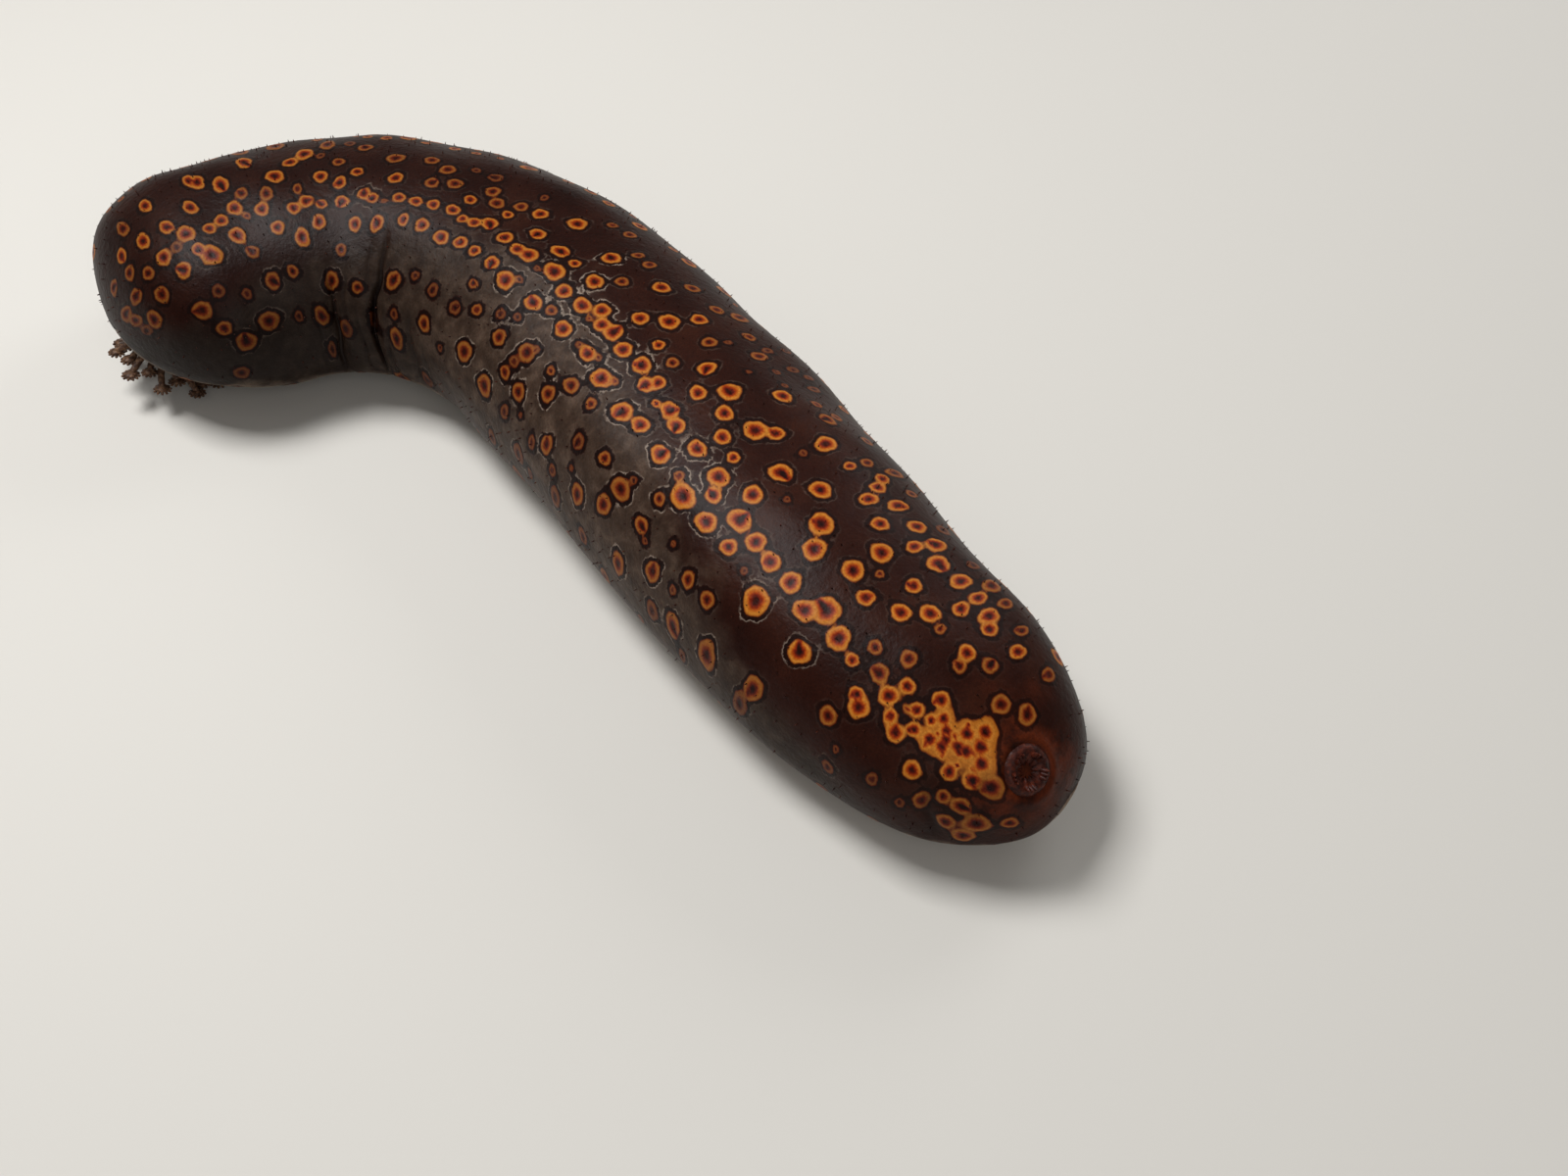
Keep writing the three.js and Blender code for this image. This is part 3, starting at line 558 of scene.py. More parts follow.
def sinkSockets(points, normals):
    # the skin dips to the mouth and to the vent, inside a soft lip
    centre, axis, _, _ = mouthFrame
    rise = (points - centre) @ axis
    reach = np.linalg.norm(points - centre - rise[:, None] * axis, axis=1)
    near = (normals @ axis > -0.2) & (rise > -14)
    inner = mouthPlace["radius"]
    keep = smoothStep(inner - 0.5, inner + mouthPlace["lip"], reach)
    lip = mouthPlace["lipRaise"] * np.exp(-((reach - inner - mouthPlace["lip"]) / 2.2) ** 2)
    target = -1.2 - 0.02 * (inner - np.minimum(reach, inner)) ** 2
    change = np.where(near, (target - rise) * (1 - keep) + lip, 0)
    points = points + change[:, None] * axis
    centre, axis, _, _ = ventFrame
    rise = (points - centre) @ axis
    reach = np.linalg.norm(points - centre - rise[:, None] * axis, axis=1)
    inner = ventPlace["radius"]
    dip = 1 - smoothStep(inner - 1.5, inner + ventPlace["lip"], reach)
    lip = 0.45 * np.exp(-((reach - inner - ventPlace["lip"]) / 1.6) ** 2)
    change = np.where(normals @ axis > 0.2, lip - dip * ventPlace["sink"], 0)
    return points + change[:, None] * axis


def spotFields(points):
    # for each point: gap to the nearest ring's edge, gap to a dark centre, brightness, pale line
    random = np.random.default_rng(5)
    count = len(points)
    joined, weights = np.zeros(count), np.full(count, 1e-12)
    pupil, tone, halo = np.full(count, 2.0), np.zeros(count), np.zeros(count)
    softness = skin["joinSoftness"]
    for along, around, length, width, shade, line, run in spotRows:
        centre = surfaceAt(along, around)
        forward, upward, outward = tangentsAt(along, around)
        phases = random.uniform(0, 6.28, 5)
        notch = random.uniform(0.25, 0.62) if random.random() < 0.3 and run == 1 and width > 1.2 else 0.06
        reach = max(length, width) + skin["spotReach"]
        box = np.flatnonzero(np.abs(points - centre).max(1) < reach)
        away = points[box] - centre
        box, away = box[np.abs(away @ outward) < 7], away[np.abs(away @ outward) < 7]
        u, v = away @ forward, away @ upward
        turn = np.arctan2(v / width, u / length)
        wobble = 1 + 0.05 * np.sin(2 * turn + phases[0]) + 0.05 * np.sin(3 * turn + phases[1])
        wobble += 0.035 * np.sin(5 * turn + phases[2]) + 0.02 * np.sin(8 * turn + phases[3])
        share = np.hypot(u / length, v / width) / wobble
        slope = np.maximum(np.hypot(u / length ** 2, v / width ** 2), 1e-3)
        gap = np.clip(share * (share - 1) / slope, -max(length, width), reach)
        pull = np.exp(-np.clip(gap, -4, 20) / softness)
        joined[box] += pull
        blend = np.exp(-np.clip(gap, -4, 20) / 0.9)
        weights[box] += blend
        tone[box] += blend * shade
        halo[box] += blend * line
        lean = np.exp(-((np.abs((turn - phases[4] + np.pi) % (2 * np.pi) - np.pi)) / 0.32) ** 2)
        pupil[box] = np.minimum(pupil[box], share * run - skin["pupilShare"] - notch * lean / run ** 2)
    edge = np.where(joined > 0, -softness * np.log(np.maximum(joined, 1e-20)), 20)
    return np.clip(edge, -4, 20), pupil, tone / weights, halo / weights


liveliness = {  # painted shade: all colours darker towards the head
    "along": (0, 140, 230, 300, 400), "share": (1, 0.92, 0.76, 0.64, 0.6),
}
paleSkin = {  # the greyer flank: how far up it reaches, and how light it is
    "along": (0, 50, 80, 110, 140, 175, 210, 240, 270, 310, 350, 400),
    "reach": (-40, 0, 26, 46, 58, 74, 80, 74, 60, 52, 44, 20),
    "light": (0.1, 0.3, 0.6, 0.85, 0.95, 1, 1, 0.9, 0.65, 0.4, 0.3, 0.15),
    "farReach": 152.0,
}


def footShares(along, around, places):
    # long bands of feet, dense in the middle of the sole and fading at its edges and ends
    turn = (around % 360) - 270
    bands = 0.25 + 0.75 * (smoothStep(9, 5, np.abs(turn)) + smoothStep(9, 5, np.abs(np.abs(turn) - 27)))
    flat = smoothStep(4.6, 3.4, places[:, 2])
    ends = smoothStep(14, 30, along) * smoothStep(378, 362, along)
    return np.clip(bands, 0, 1) * flat * ends


def makeSkin(material):
    alongs, arounds = skinGrid()
    along = np.repeat(alongs, len(arounds))
    around = np.tile(arounds, len(alongs))
    places = surfaceAt(along, around)
    normals = tangentsAt(along, around)[2]
    edge, pupil, tone, halo = spotFields(places)
    points = places + skinRelief(along, around, places)[:, None] * normals
    ring = smoothStep(0.3, -0.9, edge) * skin["rimRaise"]
    pit = smoothStep(0.12, -0.3, pupil) * skin["pupilSink"] * smoothStep(0.4, -0.4, edge)
    points += (ring - pit)[:, None] * normals
    points = sinkSockets(points, normals)
    points[:, 2] = np.maximum(points[:, 2], 1.6)
    ends = surfaceAt(np.array([0.0, body["length"]]), np.array([0.0, 0.0]))
    points = np.concatenate([points, ends])
    rings, count = len(alongs), len(arounds)
    index = np.arange(rings * count).reshape(rings, count)
    turned = np.roll(index, -1, axis=1)
    quads = np.stack([index[:-1], turned[:-1], turned[1:], index[1:]], -1).reshape(-1, 4)
    tail = [(rings * count, int(turned[0, j]), int(index[0, j])) for j in range(count)]
    head = [(rings * count + 1, int(index[-1, j]), int(turned[-1, j])) for j in range(count)]
    made = meshObject("skin", points, quads.tolist() + tail + head, material)
    around90 = np.abs(around - 90)
    paleNear = (np.interp(along, paleSkin["along"], paleSkin["reach"]) - around) * 0.72
    paleFar = (around - paleSkin["farReach"]) * 0.72
    soleGap = around90 - 116 + 4 * waves(places, 30, 8)
    ventGap = np.linalg.norm(places - ventCentre, axis=1)
    values = {
        "spotEdge": edge, "pupilGap": pupil, "spotTone": tone, "spotHalo": halo,
        # dark pigment and painted shade: how deep the creases cut, kept to darken the colour there
        "creaseShare": np.clip(creaseDepth(along, around) / 1.3, 0, 1),
        # painted shade: darker towards the head
        "liveliness": np.interp(along, liveliness["along"], liveliness["share"]),
        "paleGap": np.maximum(paleNear, paleFar),
        "paleLight": np.interp(along, paleSkin["along"], paleSkin["light"]),
        "soleGap": np.clip(soleGap, -40, 40),
        "ventShare": 1 - smoothStep(7, 24, ventGap + 3 * waves(places, 14, 9)),
        "papillaShare": (smoothStep(112, 92, around90) * np.where(ventGap > 9, 1, 0)
                         * np.where(pupil < -0.1, 1, 0.3)),
        "footShare": footShares(along, around, places),
    }
    for name, value in values.items():
        storeValues(made.data, name, np.concatenate([value, value[[0, -1]]]))
    print("skin:", len(made.data.polygons), "faces")
    return made


def newMaterial(name):
    material = bpy.data.materials.new(name)
    material.use_nodes = True
    tree = material.node_tree
    place = addNode(tree, "ShaderNodeTexCoord").outputs["Object"]
    return material, tree, tree.nodes["Principled BSDF"], place


skinLook = {
    "dark": ((0.25, "#200a05"), (0.5, "#2b1008"), (0.75, "#38190d")),
    "pale": ((0.25, "#31231b"), (0.5, "#433329"), (0.75, "#5b493d")),
    # the rims' black also paints the creases' dark pigment and shade
    "paleDull": "#1f140f", "rim": "#120402", "halo": "#b09f90",
    "ring": ((0.0, "#1e0603"), (0.16, "#3a0b03"), (0.3, "#701b05"), (0.42, "#963608"),
             (0.54, "#b25a14"), (0.7, "#c17a2a"), (1.0, "#ae661e")),
    "ringDull": ((0.0, "#1a0503"), (0.2, "#2e0b05"), (0.36, "#471a0c"), (0.56, "#65381c"), (1.0, "#532a16")),
    "edge": "#5a1d07", "sole": "#8d7b6b", "vent": "#5f260f",
    "speckle": ("#c9c4c1", "#ffffff"),
    "rimWidth": 1.0, "haloWidth": 0.4,  # millimetres
    "grains": {  # size in millimetres, detail, roughness
        "pore": (0.55, 2, 0.5), "speckle": (0.7, 3, 0.65), "fine": (1.4, 3, 0.6), "wrinkle": (2.6, 3, 0.55),
        "breaks": (3.1, 2, 0.6), "coarse": (4.5, 2, 0.5), "blotch": (6, 3, 0.6), "broad": (17, 3, 0.55),
    },
    "stored": ("spotEdge", "pupilGap", "spotTone", "spotHalo", "paleGap", "paleLight", "soleGap",
               "ventShare", "creaseShare", "liveliness"),
}


def skinMaterial():
    # wet sea cucumber hide: leather-tough skin under thin slime, nearly black maroon, with a low
    # soft sheen and no hard highlight, as it looks in water
    material, tree, shader, place = newMaterial("wetHide")
    look, made = skinLook, {}
    for name in look["stored"]:
        made[name] = addNode(tree, "ShaderNodeAttribute", {"attribute_name": name}).outputs["Fac"]
    for name, (size, detail, roughness) in look["grains"].items():
        made[name] = addNode(tree, "ShaderNodeTexNoise", {}, {
            "Vector": place, "Scale": 1 / (size * metre), "Detail": detail,
            "Roughness": roughness}).outputs["Fac"]
    addRows(tree, made, (
        # ragged edges, in millimetres
        ("fineShift", maths, timesPlus, {0: "fine", 1: 1.7, 2: -0.85}, 0),
        ("coarseShift", maths, timesPlus, {0: "coarse", 1: 1.5, 2: -0.75}, 0),
        ("ragged", maths, plus, {0: "fineShift", 1: "coarseShift"}, 0),
        ("raggedEdge", maths, plus, {0: "spotEdge", 1: "ragged"}, 0),
        ("rimOuter", maths, minus, {0: "raggedEdge", 1: look["rimWidth"]}, 0),
        ("edgeShift", maths, timesPlus, {0: "fine", 1: 0.7, 2: -0.35}, 0),
        ("edge", maths, plus, {0: "spotEdge", 1: "edgeShift"}, 0),
        # dark back and greyer flank, between the rims
        ("paleShift", maths, timesPlus, {0: "broad", 1: 30.0, 2: -15.0}, 0),
        ("paleShiftFine", maths, timesPlus, {0: "coarse", 1: 6.0, 2: -3.0}, 0),
        ("paleEdge", maths, plus, {0: "paleGap", 1: "paleShift"}, 0),
        ("paleEdgeFine", maths, plus, {0: "paleEdge", 1: "paleShiftFine"}, 0),
        ("paleArea", ranged, eased, {"Value": "paleEdgeFine", "From Min": -9.0, "From Max": 8.0}, 0),
        ("openSkin", ranged, eased, {"Value": "rimOuter", "From Min": 0.0, "From Max": 0.5}, 0),
        ("pale", maths, times, {0: "openSkin", 1: "paleArea"}, 0),
        ("darkTone", ramp, {"stops": look["dark"]}, {"Fac": "broad"}, 0),
        ("lightTone", ramp, {"stops": look["pale"]}, {"Fac": "coarse"}, 0),
        ("greyTone", layer, over, {0: "paleLight", 6: linearColour(look["paleDull"]), 7: "lightTone"}, 2),
        ("bare", layer, over, {0: "pale", 6: "darkTone", 7: "greyTone"}, 2),
        # thin broken pale line outside some of the rims
        ("haloRise", ranged, eased, {"Value": "rimOuter", "From Min": 0.0, "From Max": 0.22}, 0),
        ("haloFall", ranged, eased, {
            "Value": "rimOuter", "From Min": look["haloWidth"] + 0.3, "From Max": 0.25}, 0),
        ("haloBand", maths, times, {0: "haloRise", 1: "haloFall"}, 0),
        ("haloLine", maths, times, {0: "haloBand", 1: "spotHalo"}, 0),
        ("haloLit", maths, times, {0: "haloLine", 1: "paleLight"}, 0),
        ("haloBreaks", ranged, eased, {"Value": "breaks", "From Min": 0.36, "From Max": 0.6}, 0),
        ("haloKept", maths, times, {0: "haloBreaks", 1: 0.75}, 0),
        ("halo", maths, times, {0: "haloLit", 1: "haloKept"}, 0),
        ("haloed", layer, over, {0: "halo", 6: "bare", 7: linearColour(look["halo"])}, 2),
        # pale sole and red-brown skin round the vent
        ("soleShift", maths, timesPlus, {0: "broad", 1: 30.0, 2: -15.0}, 0),
        ("soleShiftFine", maths, timesPlus, {0: "coarse", 1: 22.0, 2: -11.0}, 0),
        ("soleEdge", maths, plus, {0: "soleGap", 1: "soleShift"}, 0),
        ("soleEdgeFine", maths, plus, {0: "soleEdge", 1: "soleShiftFine"}, 0),
        ("soleShare", ranged, eased, {"Value": "soleEdgeFine", "From Min": -9.0, "From Max": 10.0}, 0),
        ("soled", layer, over, {0: "soleShare", 6: "haloed", 7: linearColour(look["sole"])}, 2),
        ("blotchShare", ranged, eased, {"Value": "blotch", "From Min": 0.3, "From Max": 0.62}, 0),
        ("ventBlotches", maths, times, {0: "ventShare", 1: "blotchShare"}, 0),
        ("ventTint", maths, times, {0: "ventBlotches", 1: 0.85}, 0),
        ("vented", layer, over, {0: "ventTint", 6: "soled", 7: linearColour(look["vent"])}, 2),
        # black rims, strongest on the pale flank
        ("rimBand", ranged, eased, {"Value": "rimOuter", "From Min": 0.35, "From Max": -0.25}, 0),
        ("rimStrength", maths, timesPlus, {0: "paleArea", 1: 0.2, 2: 0.72}, 0),
        ("rim", maths, times, {0: "rimBand", 1: "rimStrength"}, 0),
        ("rimmed", layer, over, {0: "rim", 6: "vented", 7: linearColour(look["rim"])}, 2),
        # rings, from the dark centre out through red to orange
        ("pupilShift", maths, timesPlus, {0: "fine", 1: 0.16, 2: 0.22}, 0),
        ("ringPlace", maths, plus, {0: "pupilGap", 1: "pupilShift"}, 0),
        ("bright", ramp, {"stops": look["ring"]}, {"Fac": "ringPlace"}, 0),
        ("dull", ramp, {"stops": look["ringDull"]}, {"Fac": "ringPlace"}, 0),
        ("ring", layer, over, {0: "spotTone", 6: "dull", 7: "bright"}, 2),
        ("ringShade", ranged, eased, {"Value": "edge", "From Min": -0.6, "From Max": 0.05}, 0),
        ("ringEdged", layer, over, {0: "ringShade", 6: "ring", 7: linearColour(look["edge"])}, 2),
        ("ringShare", ranged, eased, {"Value": "edge", "From Min": 0.15, "From Max": -0.15}, 0),
        ("spotted", layer, over, {0: "ringShare", 6: "rimmed", 7: "ringEdged"}, 2),
        # dark pigment and painted shade in the creases, fine speckle, and painted shade that darkens all
        # colours towards the head
        ("creaseTint", maths, times, {0: "creaseShare", 1: 0.85}, 0),
        ("creased", layer, over, {0: "creaseTint", 6: "spotted", 7: linearColour(look["rim"])}, 2),
        ("speckleShare", ranged, eased, {"Value": "speckle", "From Min": 0.25, "From Max": 0.75}, 0),
        ("speckleTone", layer, over, {0: "speckleShare", 6: linearColour(look["speckle"][0]),
                                      7: linearColour(look["speckle"][1])}, 2),
        ("speckled", layer, tinting, {0: 0.8, 6: "creased", 7: "speckleTone"}, 2),
        ("base", layer, tinting, {0: 1.0, 6: "speckled", 7: "liveliness"}, 2),
        # gloss and relief
        ("wet", ranged, {}, {"Value": "broad", "To Min": 0.38, "To Max": 0.5}, 0),
        ("wrinkleRise", maths, times, {0: "wrinkle", 1: 0.25}, 0),
        ("fineRise", maths, times, {0: "fine", 1: 0.12}, 0),
        ("poreRise", maths, times, {0: "pore", 1: 0.04}, 0),
        ("largeRise", maths, plus, {0: "wrinkleRise", 1: "fineRise"}, 0),
        ("rise", maths, plus, {0: "largeRise", 1: "poreRise"}, 0),
        ("bump", "ShaderNodeBump", {}, {"Strength": 0.9, "Distance": metre, "Height": "rise"}, 0),
    ))
    for name, value in (("Base Color", "base"), ("Roughness", "wet"), ("Normal", "bump")):
        tree.links.new(made[value], shader.inputs[name])
    shader.inputs["IOR"].default_value = 1.4
    shader.inputs["Specular IOR Level"].default_value = 0.11  # low, because wet skin hardly shines in water
    shader.inputs["Coat Weight"].default_value = 0.03
    shader.inputs["Coat Roughness"].default_value = 0.25
    shader.inputs["Coat IOR"].default_value = 1.35
    shader.inputs["Subsurface Weight"].default_value = 0.08
    shader.inputs["Subsurface Radius"].default_value = (1.0, 0.4, 0.25)
    shader.inputs["Subsurface Scale"].default_value = 1.2 * metre
    return material


hide = skinMaterial()
skinPiece = makeSkin(hide)
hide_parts("tail_end", "back_rear", "back_middle", "back_bend", "back_front", "head_end",
            "sole_rear", "sole_middle", "sole_bend", "sole_front")
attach(skinPiece, "root")


fleshLooks = {  # colours from dark to light; grain and relief in millimetres
    # tentacle flesh: soft muscle under thin brown skin, so matt and even
    "tentacleFlesh": {"tones": ((0.3, "#2a1a13"), (0.5, "#4c3527"), (0.7, "#7a5c45")),
                      "grain": 1.1, "roughness": 0.45, "relief": 0.25},
    # vent flesh: wrinkled red-brown skin that closes over a dark opening
    "ventFlesh": {"tones": ((0.3, "#1e0804"), (0.5, "#351007"), (0.7, "#54200e")),
                  "grain": 1.6, "roughness": 0.5, "relief": 0.2},
    # papilla flesh: the hide's own brown, a little lighter at some tips
    "papillaFlesh": {"tones": ((0.3, "#1a0805"), (0.5, "#2b110a"), (0.7, "#4c2412")),
                     "grain": 2.0, "roughness": 0.45, "relief": 0.1},
    # tube foot flesh: thin pale water-filled stalks with soft suckers
    "tubeFootFlesh": {"tones": ((0.3, "#8d7a68"), (0.5, "#a8957f"), (0.7, "#bfae98")),
                      "grain": 1.5, "roughness": 0.5, "relief": 0.15},
}


def fleshMaterial(name):
    # bare wet flesh with a fine grain, in one range of colours
    material, tree, shader, place = newMaterial(name)
    look, made = fleshLooks[name], {"place": place}
    addRows(tree, made, (
        ("tone", "ShaderNodeTexNoise", {}, {
            "Vector": "place", "Scale": 1 / (look["grain"] * metre), "Detail": 3.0, "Roughness": 0.6}, 0),
        ("colour", ramp, {"stops": look["tones"]}, {"Fac": "tone"}, 0),
        ("rise", "ShaderNodeTexNoise", {}, {
            "Vector": "place", "Scale": 1 / (look["grain"] * 0.4 * metre), "Detail": 2.0,
            "Roughness": 0.5}, 0),
        ("bump", "ShaderNodeBump", {}, {
            "Strength": 0.8, "Distance": look["relief"] * metre, "Height": "rise"}, 0),
    ))
    tree.links.new(made["colour"], shader.inputs["Base Color"])
    tree.links.new(made["bump"], shader.inputs["Normal"])
    shader.inputs["Roughness"].default_value = look["roughness"]
    shader.inputs["IOR"].default_value = 1.4
    shader.inputs["Specular IOR Level"].default_value = 0.2
    shader.inputs["Coat Weight"].default_value = 0.06
    shader.inputs["Coat Roughness"].default_value = 0.25
    shader.inputs["Subsurface Weight"].default_value = 0.12
    shader.inputs["Subsurface Radius"].default_value = (1.0, 0.5, 0.3)
    shader.inputs["Subsurface Scale"].default_value = 1.0 * metre
    return material


def seeded(seed):
    # the same repeatable draw that the solids use
    state = seed
    while True:
        state = (state * 1664525 + 1013904223) % 4294967296
        yield state / 4294967296


def ringsMesh(rings):
    # faces between rings of points, closed with a point at each end
    points = np.concatenate(rings + [rings[0].mean(0)[None], rings[-1].mean(0)[None]])
    count = len(rings[0])
    faces = []
    for i in range(len(rings) - 1):
        for j in range(count):
            k = (j + 1) % count
            faces.append((i * count + j, i * count + k, (i + 1) * count + k, (i + 1) * count + j))
    first, last = len(points) - 2, len(points) - 1
    top = (len(rings) - 1) * count
    for j in range(count):
        k = (j + 1) % count
        faces.append((first, k, j))
        faces.append((last, top + j, top + k))
    return points, faces


def joined(parts):
    points, faces, offset = [], [], 0
    for partPoints, partFaces in parts:
        points.append(partPoints)
        faces += [tuple(corner + offset for corner in face) for face in partFaces]
        offset += len(partPoints)
    return np.concatenate(points), faces


def tube(path, radii, sides):
    # a round stalk along a smooth path
    path = np.asarray(path)
    ahead = unit(np.gradient(path, axis=0))
    across = unit(np.cross(ahead, ahead.mean(0) + (0.31, 0.17, 0.4)))
    beside = np.cross(ahead, across)
    turns = np.linspace(0, 2 * np.pi, sides, endpoint=False)
    wheel = np.cos(turns)[None, :, None] * across[:, None] + np.sin(turns)[None, :, None] * beside[:, None]
    return ringsMesh(list(path[:, None] + wheel * np.asarray(radii)[:, None, None]))


def turnedDisc(profile, corners, lobes, place, axis):
    # rings about an axis from (radius, height, pucker) rows
    turn = Vector((0, 0, 1)).rotation_difference(Vector(axis)).to_matrix()
    turns = np.linspace(0, 2 * np.pi, corners, endpoint=False)
    rings = []
    for radius, height, pucker in profile:
        reach = radius * (1 + pucker * np.cos(turns * lobes)
                          + 0.4 * pucker * np.cos(turns * (lobes * 2 + 1) + 1))
        level = np.full(corners, float(height))
        local = np.stack([np.cos(turns) * reach, np.sin(turns) * reach, level], -1)
        rings.append(local @ np.array(turn).T + place)
    return ringsMesh(rings)


tentacles = {
    "count": 20, "ring": 10.2, "root": 1.6, "length": 6.8, "lean": 2.5, "spread": 5.5, "droop": 4.5,
    "shortReach": 0.55, "stalkRadius": 1.45, "taper": 0.3, "sides": 12, "steps": 12,
    "shieldRadius": 2.6, "shieldThickness": 1.5, "buds": 11, "budRadius": 0.5,
}


def bud(place, axis, radius, length):
    # one blunt finger of a shield
    path = [place - axis * radius] + [place + axis * length * share for share in (0.4, 0.8, 1)]
    return tube(path, [radius * 0.8, radius, radius * 0.8, radius * 0.3], 6)


def curveThrough(points, count):
    # a smooth path through four places
    points = np.asarray(points)
    spans = np.concatenate([[0], np.cumsum(np.linalg.norm(np.diff(points, axis=0), axis=1))])
    at = np.linspace(0, spans[-1], count)
    return np.stack([smoothTable(at, spans, points[:, i]) for i in range(3)], -1)


def tentacleParts(index, draw):
    size = tentacles
    centre, axis, _, _ = mouthFrame
    turn = Vector((0, 0, 1)).rotation_difference(Vector(axis))
    angle = 2 * math.pi * index / size["count"]
    radial = np.array(turn @ Vector((math.cos(angle), math.sin(angle), 0)))
    reach = 1 if index % 2 else size["shortReach"]
    root = centre + radial * size["ring"]
    knee = root + axis * size["length"] * (0.9 + 0.3 * next(draw)) + radial * size["lean"] * reach
    tip = knee + radial * size["spread"] * reach
    tip[2] = max(tip[2] - size["droop"] * reach, size["shieldThickness"])
    knee[2] = max(knee[2], tip[2] + 1)
    path = curveThrough([root - axis * size["root"], root + axis, knee, tip], size["steps"])
    shares = np.linspace(0, 1, size["steps"])
    creased = 1 + 0.06 * np.sin(shares * 40)
    parts = [tube(path, size["stalkRadius"] * (1 - size["taper"] * shares) * creased, size["sides"])]
    rim = size["shieldRadius"] * (0.9 + 0.2 * next(draw))
    facing = unit(axis * 0.4 + np.array((0, 0, -0.8)))
    half = size["shieldThickness"] / 2
    profile = [(rim * 0.3, -half, 0), (rim * 0.75, -half * 0.5, 0.06), (rim * 0.85, 0.1, 0.1),
               (rim * 0.5, half, 0.05)]
    parts.append(turnedDisc(profile, 22, size["buds"], tip, facing))
    _, _, first, second = axisFrame(tip, facing)
    for i in range(size["buds"] + 6):
        inner = i >= size["buds"]
        around = 2 * math.pi * (i / (6 if inner else size["buds"])) + index
        way = first * math.cos(around) + second * math.sin(around)
        place = tip + way * rim * (0.42 if inner else 0.72) + facing * half * 0.5
        lean = unit(way * (0.3 if inner else 1.2) + facing * (0.9 if inner else 0.3))
        end = place[2] + lean[2] * 1.1
        length = 1.1 if end > 0.45 else max(0.35, 1.1 - (0.45 - end))
        parts.append(bud(place, lean, size["budRadius"], length))
    return parts


def makeMouth(material):
    radius = mouthPlace["radius"]
    ring = tentacles["ring"]
    profile = [(radius + 1.6, -3.0, 0), (radius + 0.4, -1.1, 0), (radius - 0.6, 0.3, 0.01),
               (radius - 1.6, 0.9, 0.02), (ring - 1.6, 0.7, 0.02), (ring - 3.2, 0.1, 0.05),
               (ring - 5, -0.3, 0.09), (3.6, -0.2, 0.12), (2.4, -0.6, 0.2), (1.4, -1.6, 0.25),
               (0.5, -2.6, 0.1)]
    parts = [turnedDisc(profile, 96, 12, mouthFrame[0], mouthFrame[1])]
    draw = seeded(20)
    for index in range(tentacles["count"]):
        parts += tentacleParts(index, draw)
    points, faces = joined(parts)
    points[:, 2] = np.maximum(points[:, 2], 0.05)
    return meshObject("mouthAndTentacles", points, faces, material)


vent = {"groups": 5, "spread": (-13, 0, 13), "radius": 0.85, "height": 1.9, "fromRim": 1.7, "rise": 0.5}


def makeVent(material):
    centre, axis, first, second = ventFrame
    radius = ventPlace["radius"]
    profile = [(radius + 1.6, -1.6, 0), (radius + 0.6, -0.6, 0.01), (radius - 0.2, 0.25, 0.03),
               (radius - 1.2, 0.55, 0.05), (radius - 2.4, 0.4, 0.08), (radius - 3.4, -0.1, 0.13),
               (1.6, -0.9, 0.22), (0.8, -1.9, 0.2), (0.3, -2.6, 0.1)]
    parts = [turnedDisc(profile, 90, 10, centre, axis)]
    for group in range(vent["groups"]):
        for shift in vent["spread"]:
            turn = math.radians(360 / vent["groups"] * group + shift)
            way = first * math.cos(turn) + second * math.sin(turn)
            place = centre + way * (radius - vent["fromRim"]) + axis * vent["rise"]
            aim = unit(axis + way * 0.4)
            path = place + np.outer(np.linspace(-0.8, vent["height"], 6), aim)
            parts.append(tube(path, vent["radius"] * np.array([1, 1, 0.85, 0.65, 0.4, 0.12]), 10))
    points, faces = joined(parts)
    return meshObject("vent", points, faces, material)


# Papillae and tube feet are scattered over the skin with Geometry Nodes.
papilla = {"spacing": 2.6, "radius": 0.23, "length": 0.95, "sides": 6, "seed": 4}
tubeFoot = {"spacing": 2.7, "radius": 0.62, "length": 1.0, "sides": 9, "seed": 9}


